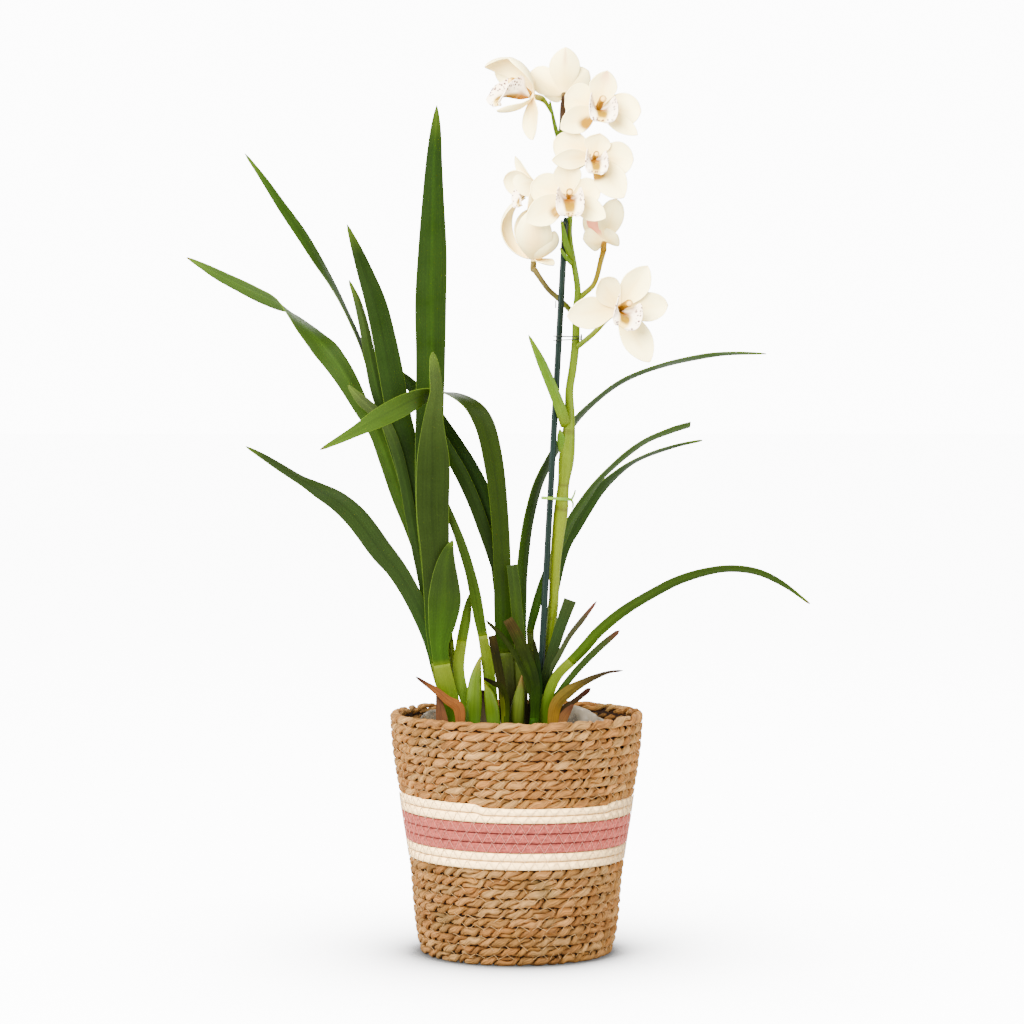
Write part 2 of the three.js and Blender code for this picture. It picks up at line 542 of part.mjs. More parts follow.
for (const [name, leaf] of Object.entries(LEAVES)) {
  const path = route(leaf.rows.map(([x, z, w, roll, y]) => [...seen(x, y, z), w, roll]));
  const s = jointLength(path, seen(0, leaf.rows[3][4], leaf.joint)[2]);
  sheaths[leaf.shoot].push(strap(path, 0, s, 3, sheathT, leaf.fold));
  const body = strap(path, s + GAP + 0.1, path.length, BLADE_STEPS, bladeT, leaf.fold);
  node(`leaf_${name}`, body, leaf.color, 0.45);
}

// Shoots: swollen base standing in the bark, sheaths rising from it
const BULB = [[SOCKET, 1], [SOIL, 1], [160, 1.02], [172, 0.86], [181, 0.55]];
const oval = ([x, y, rx, ry], rows) => post(x, y, rx, ry, rows, rx > 5 ? 12 : 8);
const cone = (rows) => stem(rows.map(([x, z, w, y, d]) => [...seen(x, y, z), w / 2, d / 2]), 8, 6);
node('shoot_left', fuse([oval(SHOOT_A, BULB), ...sheaths.a]), SHEATH, 0.45);
node('shoot_middle', fuse([
  oval(SHOOT_B, BULB), ...sheaths.b,
  cone([[-32.4, 158, 12.6, -13, 10], [-32.2, 190, 12, -14, 10], [-31, 205, 9.4, -14, 7.6],
    [-29.2, 215, 5.6, -14, 5], [-27.2, 223, 1.6, -14, 1.6]]),
  cone([[-17.6, 158, 10, -14.5, 6], [-18, 180, 11, -15, 6], [-20.4, 193, 8, -15.4, 5],
    [-24.6, 205, 1.6, -15.6, 1.6]]),
]), SHEATH, 0.45);
node('shoot_centre', fuse([
  oval(SHOOT_C, BULB), ...sheaths.c,
  cone([[1, 158, 10, -6, 8], [0.6, 180, 11, -10.5, 7], [2.4, 194, 8, -11, 5.4], [4.2, 209, 1.6, -11, 1.6]]),
]), 0x6f8428, 0.45);
const stub19 = route([[21, 160, 8, 0, -11], [20.6, 180, 7.6, 0, -9.6], [21.6, 198, 7.4, 0, -9],
  [24, 214, 8, 0, -8.6], [28.4, 230, 8, 0, -8.4], [34, 248, 8.6, 0, -8.2], [40.6, 266, 9.6, 0, -8]]
  .map(([x, z, w, roll, y]) => [...seen(x, y, z), w, roll]));
node('shoot_right', fuse([
  oval(SHOOT_D, BULB), ...sheaths.d,
  strap(stub19, 0, 34, 3, sheathT, 0.16),
]), SHEATH, 0.45);

const thin = () => 1;
const blade = (rows, steps, fold) => {
  const path = route(rows.map(([x, z, w, y]) => [...seen(x, y, z), w, 0]));
  return strap(path, 0, path.length, steps, thin, fold);
};
node('leaf_d19_cut_leaves', fuse([
  strap(stub19, 34 + GAP, stub19.length, 5, bladeT, 0.16),
  blade([[22.4, 205, 4, -8.6], [26.4, 214, 4, -8.8], [31, 222, 4, -9], [40, 238.5, 4, -9],
    [50, 251.5, 4, -9],
    [60.5, 265, 1.4, -9]], 6, 0.1),
]), DEEP, 0.5);

// Dry bracts and cut leaf stubs
node('cut_stub_left', fuse([
  oval(STUB_L, [[SOCKET, 1], [SOIL + 14, 1], [SOIL + 22, 0.7]]),
  blade([[-8.4, 165, 5, -16], [-9, 185, 6, -17], [-12, 205, 6.5, -18], [-15, 221, 6.5, -18.4],
    [-18.6, 239, 5.6, -18.6]], 5, 0.16),
  blade([[-7.6, 172, 4, -16.6], [-7.6, 190, 4.4, -17.4], [-11, 199.6, 5, -18.2], [-18, 203.4, 3.4, -19],
    [-25, 207, 1.4, -19.4]], 5, 0.1),
]), 0x33200f, 0.7);
node('cut_stubs_centre', fuse([
  oval(STUB_C, [[SOCKET, 1], [SOIL + 16, 1], [SOIL + 28, 0.7]]),
  blade([[13.4, 168, 7, -17.5], [14.4, 200, 7, -19], [11.4, 213, 8, -19.4], [6, 226.5, 9, -19.8],
    [-1, 241.5, 8.6, -20], [-6.8, 251.4, 7.4, -20]], 6, 0.14),
  blade([[13, 170, 4, -16.4], [12.6, 185, 4, -15.4], [10, 198, 4, -14.8], [6, 210, 4, -14.4],
    [0, 222.6, 4, -14], [-10, 237.6, 3.6, -13.8], [-23, 250.6, 1.8, -13.6]], 7, 0.1),
  blade([[14, 172, 4, -17.5], [17.4, 195, 4, -17.6], [17, 210, 3.8, -17.4], [15, 225, 3.6, -17.2],
    [13, 236, 1.6, -17]], 5, 0.1),
]), 0x2e2a14, 0.65);
node('dry_bracts_left', fuse([
  oval(BRACT_L, [[SOCKET + 6, 1], [SOIL + 8, 1]]),
  blade([[-54, 154, 10, -20.6], [-56, 172, 9.4, -20.6], [-58, 186, 6, -20.6],
    [-60, 197, 2, -20.6]], 4, 0.16),
  blade([[-44, 156, 7, -21.4], [-42.6, 172, 7, -22.4], [-44, 184.5, 8.6, -22.6], [-52, 190, 6.6, -22.4],
    [-61, 197.6, 5, -21.6], [-69, 203, 3, -21], [-76, 208, 1.4, -20.4]], 8, 0.2),
  blade([[-54, 157, 4, -21], [-44, 157, 4, -21.4]], 1, 0),
]), 0xb8703f, 0.7);
node('dry_bracts_right', fuse([
  oval(BRACT_R, [[SOCKET + 6, 1], [SOIL + 8, 1]]),
  blade([[29, 154, 7, -20.4], [27.6, 172, 8, -20.8], [30, 187, 9, -21], [39, 196.6, 8.6, -21],
    [50, 203.3, 5.6, -21], [60, 208, 3.8, -21], [70, 211.4, 2, -21], [80.5, 212.5, 1.4, -21]], 8, 0.2),
  blade([[31, 154, 9, -20.8], [33, 172, 9, -20.6], [38, 181, 6, -20.2], [43, 187, 1.6, -20]], 4, 0.16),
  blade([[30, 164, 4, -19.6], [31, 179, 4, -19.2], [37, 185, 4, -19], [45.4, 190.6, 4, -19],
    [56, 199.3, 4, -19]], 5, 0.1),
]), 0xa8792c, 0.7);
node('leaf_d21_narrow', blade([[29.4, 192.5, 4, -18.8], [38, 203.6, 4.8, -19.4], [48, 215.4, 5, -21],
  [60, 227.6, 5, -24], [69, 235.6, 4.6, -27], [78, 243, 3, -29]], 7, 0.12), GREEN, 0.5);

// Flower spike: stalk, flower stalks and small bracts, rows x, z, radius, y
const round = (rows, sides, steps) => stem(rows.map(([x, z, r, y]) => [...seen(x, y, z), r]), sides, steps);
const SPIKE = [
  [23, 190, 3.8, 3.5], [24.6, 230, 3.7, 3.5], [27.7, 260, 3.8, 3.5], [29, 290, 4, 3.5], [31, 312, 4.6, 3.5],
  [33.4, 332, 5.4, 3.5], [35.4, 353, 4.4, 3.5], [37.6, 372, 5.9, 3.5], [39.3, 391, 5, 3.5],
    [40, 408, 3.8, 3.5],
  [39.8, 424, 3.1, 3.5], [42.4, 441, 3.1, 3.5], [44.5, 461, 3, 3.5], [45, 485, 2.7, 3.5],
    [46, 500, 2.4, 3.5],
  [43, 520, 2.2, 3.5], [40, 540, 2, 3.5], [40.4, 560, 2, 3.5], [39.6, 580, 1.9, 3.5], [35.5, 600, 1.8, 4],
  [29.5, 620, 1.7, 5], [25, 641, 0.8, 6]];

// Flower frames: c centre, n facing, u towards the top sepal, then tepal changes
const FLOWERS = {
  1: { c: [12, 2, 645], n: [-0.86, -0.45, 0.22], u: [0.15, 0.1, 1], lip: 1.32,
    stalk: [[27, 632, 1.4, 5], [22, 640, 1.6, 4]],
    t: [[112, 54, 24, 8, 140, 0.42], [138, 40, 24, 4, 84, 0.3], [60, 40, 24, 24, 88, 0.3],
      [-75, 36, 18, 35, 80, 0.3], [280, 33, 24, -4, -10, 0.3]] },
  2: { c: [35.5, 11, 647], n: [-0.05, 0.8, 0.6], u: [0, -0.6, 0.8], lip: 1,
    stalk: [[32, 612, 1.5, 6], [34, 624, 1.9, 9], [35, 636, 2.4, 10]],
    t: [[92, 35.6, 23, 14, 8, 0.25], [26, 28.9, 23, 20, 30, 0.25], [146, 24.2, 22, 20, 30, 0.25],
      [-27, 18.9, 17, 30, 40, 0.25], [210, 21.9, 17, 30, 40, 0.25]] },
  3: { c: [61, -33, 636], n: [0.16, -0.98, 0.02], u: [0.16, 0, 1], lip: 1.12,
    stalk: [[31, 613, 1.5, 4], [36, 618, 1.7, -3], [48, 627, 2.1, -16], [57, 634, 2.6, -26]],
    t: [[89, 29, 21, 24, 34, 0.2], [4, 31.1, 25, 8, 20, 0.25], [171, 25.8, 27, 8, 12, 0.2],
      [-29, 36.4, 13, 20, 30, 0.2], [219, 34.4, 20, 20, 14, 0.25]] },
  4: { c: [58, -31, 599], n: [0.1, -0.98, -0.16], u: [0.1, -0.16, 1], lip: 0.88,
    stalk: [[38, 586, 1.5, 3], [44, 590, 1.7, -6], [51, 595, 2.1, -17], [56.4, 598.4, 2.6, -25]],
    t: [[84, 18.9, 20, 12, 30, 0.2], [2, 28.5, 26, 4, 8, 0.2], [162, 31.9, 25, 6, 4, 0.2],
      [-48, 36.4, 23, 20, 12, 0.2], [186, 35.9, 15, 34, 20, 0.3]] },
  5: { c: [39, -29, 570], n: [0.04, -0.98, -0.16], u: [0.02, -0.16, 1], lip: 1.07,
    stalk: [[40.4, 556, 1.5, 3], [42, 561, 1.7, -5], [41, 566, 2.1, -14], [39.6, 569, 2.6, -23]],
    t: [[95, 26.8, 21, 4, 20, 0.2], [15, 23.2, 21, 4, 4, 0.2], [163, 28.4, 25, 6, 6, 0.2],
      [-28, 32.1, 17, 24, 20, 0.2], [210, 37.5, 22, 24, 16, 0.2]] },
  6: { c: [16, -9, 577], n: [-0.86, -0.4, -0.3], u: [-0.2, 0.1, 1], lip: 0.86,
    stalk: [[39.4, 566, 1.4, 3], [33, 568, 1.6, 1], [25, 573, 2.1, -4], [20, 575.6, 2.5, -7]],
    t: [[92, 27.8, 14, 36, 0, 0.3], [18, 28, 20, 44, 82, 0.3], [142, 27.1, 23, 30, 50, 0.3],
      [-36, 33.8, 14, 40, 50, 0.3], [282, 15.9, 12, 30, 40, 0.3]] },
  7: { c: [13, 12, 523], n: [0.05, -0.25, 0.97], u: [-0.97, 0, 0.2], lip: 0.92,
    stalk: [[45, 478, 2.2, 5], [40, 485, 2.1, 8.4], [31, 493.6, 2, 10], [24, 500, 2, 10.6],
      [17, 509.6, 2, 10.6], [13.4, 515, 2.3, 10.4]],
    t: [[72, 65.8, 22, 0, 160, 0.35], [12, 42.2, 27, 30, 84, 0.35], [180, 54.1, 27, 30, 84, 0.35],
      [-121, 17.1, 16, -4, -10, 0.3], [219, 35.6, 20, 20, 80, 0.35]] },
  8: { c: [66, 7, 536], n: [0.1, 0.66, 0.74], u: [-0.2, -0.74, 0.66], lip: 0.86,
    stalk: [[46, 493, 2.2, 4], [52, 497.6, 2, 5], [57.6, 503, 1.9, 6], [60.6, 510, 1.9, 6.4],
      [63, 520, 2, 6.6], [65.6, 530, 2.3, 6.8]],
    t: [[82, 28.1, 20, 24, 50, 0.25], [27, 24.6, 18, 30, 60, 0.3], [114, 34.4, 19, 20, 30, 0.25],
      [1, 16.2, 24, 0, 30, 0.25], [162, 10.4, 20, 0, 30, 0.25]] },
  9: { c: [77, -22, 486], n: [0.28, -0.95, -0.1], u: [0.42, 0.05, 0.9], lip: 1.18,
    stalk: [[45.6, 457, 2.2, 2], [53, 462.6, 2, -3], [60, 469, 2, -8], [67, 477, 2.1, -13],
      [74.4, 484, 2.5, -18]],
    t: [[84, 37, 22, 14, 10, 0.25], [28, 36.8, 22, 4, 4, 0.2], [154, 30.5, 21, 16, 30, 0.2],
      [-35, 45.4, 23, 16, 6, 0.2], [213, 41.4, 24, 8, 6, 0.2]] },
};

// Outlines: width share at each share of the length; the two petals are blunt, the sepals pointed
const PETAL = [[0, 0.26], [0.16, 0.56], [0.38, 0.92], [0.6, 1], [0.8, 0.78], [0.93, 0.42], [1, 0.1]];
const SEPAL = [[0, 0.26], [0.16, 0.56], [0.38, 0.92], [0.6, 1], [0.8, 0.72], [0.93, 0.36], [1, 0.06]];

function share(outline, t) {
  let i = 0;
  while (i < outline.length - 2 && t > outline[i + 1][0]) {
    i += 1;
  }
  const [a, p] = outline[i];
  const [b, q] = outline[i + 1];
  return p + ((q - p) * (t - a)) / (b - a);
}

// One tepal: azimuth, length, width, lift at the base and at the tip, cup
function tepal([azimuth, length, width, lift0, lift1, cup], frame, outline) {
  const { c, R, U, N } = frame;
  const radial = add(mul(R, Math.cos(azimuth * RAD)), mul(U, Math.sin(azimuth * RAD)));
  const sideways = cross(N, radial);
  const steps = [0, 0.22, 0.5, 0.8, 1];
  let place = add(c, mul(radial, 1.2));
  let before = 0;
  const top = [];
  const bottom = [];
  for (const t of steps) {
    const lift = (k) => (lift0 + (lift1 - lift0) * k) * RAD;
    const mid = lift((before + t) / 2);
    const run = (t - before) * length;
    place = add(place, add(mul(radial, run * Math.cos(mid)), mul(N, run * Math.sin(mid))));
    before = t;
    const ahead = add(mul(radial, Math.cos(lift(t))), mul(N, Math.sin(lift(t))));
    const up = cross(ahead, sideways);
    const half = (width / 2) * share(outline, t);
    const rowT = [];
    const rowB = [];
    for (const u of [-1, 0, 1]) {
      const q = add(place, add(mul(sideways, half * u), mul(up, cup * half * (u * u - 0.5))));
      rowT.push(add(q, mul(up, PETAL_T / 2)));
      rowB.push(sub(q, mul(up, PETAL_T / 2)));
    }
    top.push(rowT);
    bottom.push(rowB);
  }
  return slab(top, bottom);
}

// Lip rows: height below the axis, reach forward, half width, side lobe height
const LIP = [
  [-1.8, 2.6, 2, 1.6], [-3.8, 7, 7.6, 9], [-4.6, 12, 11, 12.4], [-5.2, 17, 11.6, 8.4],
  [-7, 20.6, 10.6, 3.6], [-9.6, 21.8, 8.2, 1.4], [-11.6, 20.8, 4.4, 0.4],
];

function lip(size, { c, R, U, N }) {
  const top = [];
  const bottom = [];
  const place = (x, y, z) => add(
    add(c, mul(R, x * size)),
    add(mul(U, y * size), mul(N, 3.1 + (z - 2.6) * size)),
  );
  LIP.forEach(([down, out, half, lobe], i) => {
    const a = LIP[Math.max(i - 1, 0)];
    const b = LIP[Math.min(i + 1, LIP.length - 1)];
    const len = Math.hypot(b[0] - a[0], b[1] - a[1]);
    const nu = (b[1] - a[1]) / len;
    const nn = -(b[0] - a[0]) / len;
    const rowT = [];
    const rowB = [];
    for (const u of [-1, -0.5, 0, 0.5, 1]) {
      const lift = lobe * u * u;
      const tilt = Math.atan2(2 * lobe * u, half) * 0.8;
      const q = place(half * u * (1 - Math.abs(lobe) * 0.012), down + lift * nu, out + lift * nn);
      const h = PETAL_T / 2;
      const turn = add(mul(R, -Math.sin(tilt)), mul(add(mul(U, nu), mul(N, nn)), Math.cos(tilt)));
      rowT.push(add(q, mul(turn, h)));
      rowB.push(sub(q, mul(turn, h)));
    }
    top.push(rowT);
    bottom.push(rowB);
  });
  const body = slab(top, bottom);
  const column = stem([
    [...place(0, 0.2, 2.5), 2.3 * size], [...place(0, 2.2, 7), 2.2 * size],
    [...place(0, 3.8, 11.5), 2.3 * size], [...place(0, 4.6, 14.6), 2.4 * size],
    [...place(0, 4.2, 16.6), 1.5 * size]], 5, 3);
  return fuse([body, column]);
}

const spikeParts = [
  post(SPIKE_FOOT[0], SPIKE_FOOT[1], 4, 4, [[SOCKET, 1], [192, 0.98]], 10),
  round(SPIKE, 6, 15),
];
for (const [name, f] of Object.entries(FLOWERS)) {
  const c = seen(...f.c);
  const N = unit(f.n);
  const U = unit(sub(f.u, mul(N, dot(f.u, N))));
  const R = cross(U, N);
  const frame = { c, R, U, N };
  const seat = stem([[...sub(c, mul(N, 1.6)), 2.3], [...c, 3], [...add(c, mul(N, 1.7)), 2.4]], 8, 2);
  const petals = f.t.map((t, i) => tepal(t, frame, i === 1 || i === 2 ? PETAL : SEPAL));
  node(`flower_${name}_tepals`, fuse([seat, ...petals], 0.14), 0xf7f0e2, 0.55);
  node(`flower_${name}_lip`, lip(f.lip, frame), 0xf6e7c8, 0.5);
  const foot = sub(c, mul(N, 1.6 + GAP));
  const neck = sub(c, mul(N, 8));
  const rows = f.stalk.map(([x, z, r, y]) => [...seen(x, y, z), r]);
  spikeParts.push(stem([...rows, [...neck, 2.4], [...foot, 2.2]], 5, rows.length + 1));
}

// Bracts of the spike: rows x, z, width, y
const BRACTS = [
  [[37, 397, 7.4, -0.4], [34.6, 406, 8.2, -6], [30.6, 417, 8, -7.6], [24.6, 431.6, 7.6, -8.2],
    [18, 447, 6.4, -8],
    [9, 466, 1.4, -8]],
  [[42, 521, 3.6, 2.4], [40, 526.5, 4, -2.6], [37.4, 534, 4.4, -5], [35.4, 543, 3.6, -5.4],
    [33.8, 552, 1.2, -5.4]],
  [[42.2, 519, 3, 2.4], [39.6, 521.4, 3, -2.6], [36, 526, 2.6, -6.8], [32.8, 531, 1.2, -7]],
  [[37.6, 592, 3.6, 3], [36, 598, 4, 1], [33.4, 602.6, 1.2, 0]],
  [[36, 376, 7, 0.4], [33.6, 388, 6, -1.2], [32.6, 395, 1.4, -1.4]],
];
for (const rows of BRACTS) {
  spikeParts.push(blade(rows, 4, 0.3));
}
node('flower_spike', fuse(spikeParts, 0.22), 0xa9b93a, 0.45);

// Ties that hold the spike to the cane
function loop(z, side, deep, r, lift) {
  const cane = caneAt(z);
  const spike = seen(side, 3.5, z);
  const mx = (cane[0] + spike[0]) / 2;
  const my = (cane[1] + spike[1]) / 2;
  const rx = Math.hypot(spike[0] - cane[0], spike[1] - cane[1]) / 2 + deep;
  const tilt = Math.atan2(spike[1] - cane[1], spike[0] - cane[0]);
  const rings = [];
  const count = 10;
  for (let i = 0; i < count; i += 1) {
    const a = (2 * Math.PI * i) / count;
    const ex = rx * Math.cos(a);
    const ey = (deep + 0.9) * Math.sin(a);
    const turn = (p) => [
      p[0] * Math.cos(tilt) - p[1] * Math.sin(tilt),
      p[0] * Math.sin(tilt) + p[1] * Math.cos(tilt),
      0,
    ];
    const place = add([mx, my, z + lift * Math.cos(a)], turn([ex, ey]));
    const out = turn(unit([Math.cos(a) / rx, Math.sin(a) / deep, 0]));
    const ring = [];
    for (let j = 0; j < 4; j += 1) {
      const b = (Math.PI * (j + 0.5)) / 2;
      ring.push(add(place, add(mul(out, r[0] * Math.cos(b)), [0, 0, r[1] * Math.sin(b)])));
    }
    rings.push(ring);
  }
  const points = rings.flat();
  const tris = [];
  for (let i = 0; i < count; i += 1) {
    const n = (i + 1) % count;
    for (let j = 0; j < 4; j += 1) {
      const k = (j + 1) % 4;
      tris.push([i * 4 + j, n * 4 + k, i * 4 + k], [i * 4 + j, n * 4 + j, n * 4 + k]);
    }
  }
  return { points, tris };
}

node('raffia_tie', fuse([
  loop(342.5, 34.3, 6.7, [0.5, 1.3], -0.8),
  stem([[...seen(40.9, 3.4, 340.8), 0.9], [...seen(43.2, 2, 345), 0.7],
    [...seen(44.4, 1.6, 349), 0.5]], 5, 3),
  stem([[...seen(40.9, 3.4, 342.4), 0.9], [...seen(42.6, 2, 339), 0.7],
    [...seen(42.4, 1.6, 335.6), 0.5]], 5, 3),
]), 0xa8c35a, 0.6);
node('wire_tie', fuse([
  loop(462.2, 44.5, 4.1, [0.4, 0.4], 0.6),
  loop(464.6, 44.5, 4.1, [0.4, 0.4], -0.3),
  stem([[...seen(48.6, 3.5, 461.8), 0.7], [...seen(48.8, 3.3, 464), 0.7],
    [...seen(48.8, 3, 466.4), 0.5]], 5, 2),
]), 0x24301f, 0.4);

export default group;
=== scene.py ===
"""Looks of a cymbidium orchid in a coiled seagrass basket. Worked out in millimetres, made in metres."""

import json
import math
import random

import bmesh
import bpy
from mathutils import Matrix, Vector, noise

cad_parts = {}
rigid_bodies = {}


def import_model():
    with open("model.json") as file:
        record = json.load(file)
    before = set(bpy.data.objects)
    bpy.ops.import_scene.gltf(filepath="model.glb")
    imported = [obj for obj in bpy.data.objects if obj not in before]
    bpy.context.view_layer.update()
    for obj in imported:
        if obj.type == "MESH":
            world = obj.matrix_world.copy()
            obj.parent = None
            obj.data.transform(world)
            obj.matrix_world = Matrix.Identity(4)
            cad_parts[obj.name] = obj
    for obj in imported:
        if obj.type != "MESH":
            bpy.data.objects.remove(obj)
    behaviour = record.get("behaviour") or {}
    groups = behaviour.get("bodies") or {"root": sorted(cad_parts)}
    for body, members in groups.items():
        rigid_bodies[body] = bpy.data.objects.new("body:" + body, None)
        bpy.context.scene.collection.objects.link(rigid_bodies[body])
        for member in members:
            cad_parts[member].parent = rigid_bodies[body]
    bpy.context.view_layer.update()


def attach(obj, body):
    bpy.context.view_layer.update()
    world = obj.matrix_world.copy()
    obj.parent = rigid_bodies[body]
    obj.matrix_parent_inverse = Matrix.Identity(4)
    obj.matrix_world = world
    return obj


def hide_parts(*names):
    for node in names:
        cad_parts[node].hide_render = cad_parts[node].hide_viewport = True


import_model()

MM = 0.001
RAD = math.pi / 180
TURN = 2 * math.pi

# Main sizes, the same as the solids'
BASKET_H = 182
BASKET_R = 95.5   # at the rim
WALL = 7
FLOOR = 6
BANDS = (72, 85.2, 107.1, 118.5)   # heights where the coloured bands start and end
BAND_R = 86   # their mean radius
BAND_TILT = 1.5   # rise of the courses at the far left, and their drop at the far right
POT_Z = 7.4   # underside of the pot
POT_TOP = 158
SOIL = 150
SOCKET = 136   # foot of the plain holes in the bark
CANE_R = 2.4
CANE_TOP = 554
SPIKE_Y = 3.5   # depth of the flower spike
EYE = (-3.4, 2500, 424)   # the camera: x, distance in front, height

# Courses of the basket wall, counted from the ground
LOW_ROPES, HIGH_ROPES = range(10), range(17, 26)
LOW_CREAM, PINK_CORDS, HIGH_CREAM = range(10, 12), range(12, 15), range(15, 17)


# Number helpers
def vec(*p):
    return Vector(p)


def clamp(t, low=0.0, high=1.0):
    return min(max(t, low), high)


def smooth(a, b, t):
    """0 up to a and 1 from b on, eased between; a may be the larger."""
    k = clamp((t - a) / (b - a))
    return k * k * (3 - 2 * k)


def ripple(x, y=0.0, z=0.0):
    """Smooth noise from -1 to 1."""
    return noise.noise(Vector((x, y, z)))


def linear(code):
    """sRGB hex colour to linear."""
    parts = [int(code[i:i + 2], 16) / 255 for i in (0, 2, 4)]
    return Vector([p / 12.92 if p <= 0.04045 else ((p + 0.055) / 1.055) ** 2.4 for p in parts])


def blend(stops, t):
    """Colour between stops of place and linear colour."""
    for (a, p), (b, q) in zip(stops, stops[1:]):
        if t <= b:
            return p.lerp(q, smooth(a, b, t))
    return stops[-1][1]


def even(*codes):
    """Stops for blend, evenly spaced from 0 to 1, from hex colours."""
    return [(i / (len(codes) - 1), linear(c)) for i, c in enumerate(codes)]


def seen(x, y, z):
    """A point seen at x, z on the middle plane, moved to its own depth y along the line of sight."""
    k = (EYE[1] + y) / EYE[1]
    return vec(EYE[0] + (x - EYE[0]) * k, y, EYE[2] - (EYE[2] - z) * k)


class Curve:
    """Smooth run of number rows over their knots; knots are chord lengths unless given."""

    def __init__(self, rows, knots=None):
        self.rows = rows
        self.knots = knots or [0]
        if not knots:
            for a, b in zip(rows, rows[1:]):
                gap = math.dist(a[:3], b[:3])
                self.knots.append(self.knots[-1] + max(gap, 0.01))
        self.length = self.knots[-1]

    def slope(self, i, k):
        a, b = max(i - 1, 0), min(i + 1, len(self.rows) - 1)
        return (self.rows[b][k] - self.rows[a][k]) / (self.knots[b] - self.knots[a])

    def at(self, s):
        """The whole row at s."""
        i = 0
        while i < len(self.rows) - 2 and s > self.knots[i + 1]:
            i += 1
        h = self.knots[i + 1] - self.knots[i]
        t = clamp((s - self.knots[i]) / h)
        a, b = 2 * t ** 3 - 3 * t ** 2 + 1, t ** 3 - 2 * t ** 2 + t
        c, d = 3 * t ** 2 - 2 * t ** 3, t ** 3 - t ** 2
        return [a * v + b * h * self.slope(i, k) + c * self.rows[i + 1][k] + d * h * self.slope(i + 1, k)
                for k, v in enumerate(self.rows[i])]

    def place(self, s):
        return Vector(self.at(s)[:3])

    def along(self, s):
        return (self.place(min(s + 0.6, self.length)) - self.place(max(s - 0.6, 0))).normalized()


def stem(readings, *ends):
    """Curve for a round stem from readings of x, z, radius and depth; ends are rows added as they are."""
    return Curve([[*seen(x, y, z), r] for x, z, r, y in readings] + list(ends))


def strap(readings):
    """Curve for a leaf from readings of x, z, width, depth and, where it is rolled, its roll."""
    return Curve([[*seen(x, y, z), w, *(roll or [0])] for x, z, w, y, *roll in readings])


# Node materials
def add(tree, kind, inputs=None, **settings):
    """Adds one node; inputs are values or other nodes' sockets."""
    made = tree.nodes.new("ShaderNode" + kind)
    for key, value in settings.items():
        setattr(made, key, value)
    for key, value in (inputs or {}).items():
        if isinstance(value, bpy.types.NodeSocket):
            tree.links.new(value, made.inputs[key])
        else:
            made.inputs[key].default_value = value
    return made


def surface(name, rough, across, along, dark, light, bump, mottle=0.06, grain=90, soft=0.0,
            rough_spread=0.12, shine=0.5):
    """Streaked natural surface: streaks follow the texture lengths, mottling follows the object.
    across is streaks over the width, along is a streak's length in mm, dark and light are the
    streaks' shades, bump is a depth in mm, mottle a colour change, grain its patches a metre,
    soft the share of light that spreads inside."""
    material = bpy.data.materials.new(name)
    material.use_nodes = True
    tree = material.node_tree
    shader = tree.nodes["Principled BSDF"]
    tint = add(tree, "Attribute", attribute_name="tint")
    lengths = add(tree, "UVMap", uv_map="UVMap")
    fitted = add(tree, "Mapping", {0: lengths.outputs[0], 3: (across, 100 / along, 1)})
    streaks = add(tree, "TexNoise", {"Vector": fitted.outputs[0], "Scale": 1.0, "Detail": 4.0,
                                     "Roughness": 0.6})
    place = add(tree, "TexCoord")
    patches = add(tree, "TexNoise", {"Vector": place.outputs["Object"], "Scale": grain, "Detail": 3.0})
    line = add(tree, "MapRange", {"Value": streaks.outputs[0], 1: 0.32, 2: 0.68, 3: dark, 4: light})
    patch = add(tree, "MapRange", {"Value": patches.outputs[0], 1: 0.3, 2: 0.7, 3: 1 - mottle,
                                   4: 1 + mottle})
    both = add(tree, "Math", {0: line.outputs[0], 1: patch.outputs[0]}, operation="MULTIPLY")
    color = add(tree, "VectorMath", {0: tint.outputs["Color"], "Scale": both.outputs[0]},
                operation="SCALE")
    matt = add(tree, "MapRange", {"Value": patches.outputs[0], 1: 0.3, 2: 0.7,
                                  3: clamp(rough - rough_spread), 4: clamp(rough + rough_spread)})
    relief = add(tree, "Bump", {"Height": streaks.outputs[0], "Strength": 1.0, "Distance": bump * MM})
    tree.links.new(color.outputs[0], shader.inputs["Base Color"])
    tree.links.new(matt.outputs[0], shader.inputs["Roughness"])
    tree.links.new(relief.outputs[0], shader.inputs["Normal"])
    shader.inputs["Specular IOR Level"].default_value = shine
    if soft:
        shader.inputs["Subsurface Weight"].default_value = soft
        shader.inputs["Subsurface Radius"].default_value = (1.0, 0.7, 0.45)
        shader.inputs["Subsurface Scale"].default_value = 0.0025
    return material, tree, shader, color


def plain(*values, **more):
    return surface(*values, **more)[0]


# Finishes

# Streaks over a width come from real spacings: seagrass fibres 0.9 mm, leaf veins 0.7 mm, petal
# veins 1.5 mm. The fibres of the cords are too fine to show, so they are drawn about 1.6 mm wide.

# Seagrass, dried and twisted: dull, each strand streaked from pale straw to brown, with open grooves
SEAGRASS = plain("twisted_seagrass", 0.78, 15, 20, 0.42, 1.52, 0.7, mottle=0.16, grain=240, shine=0.2)
# Fibre cord, bleached: chalky cream without gloss, short soft flecks
CREAM = plain("bleached_fibre", 0.85, 12, 5, 0.76, 1.12, 0.35, mottle=0.1, grain=350, shine=0.15)
# Fibre cord, dyed: dusty pink without gloss, the dye uneven from fibre to fibre
PINK = plain("dyed_pink_fibre", 0.88, 14, 4, 0.7, 1.22, 0.3, mottle=0.16, grain=420, shine=0.15)
# Sewing thread: even colour and a slight sheen; its twist is too fine to show
THREAD = plain("stitching_thread", 0.7, 3, 2, 0.9, 1.05, 0.05, mottle=0.05)
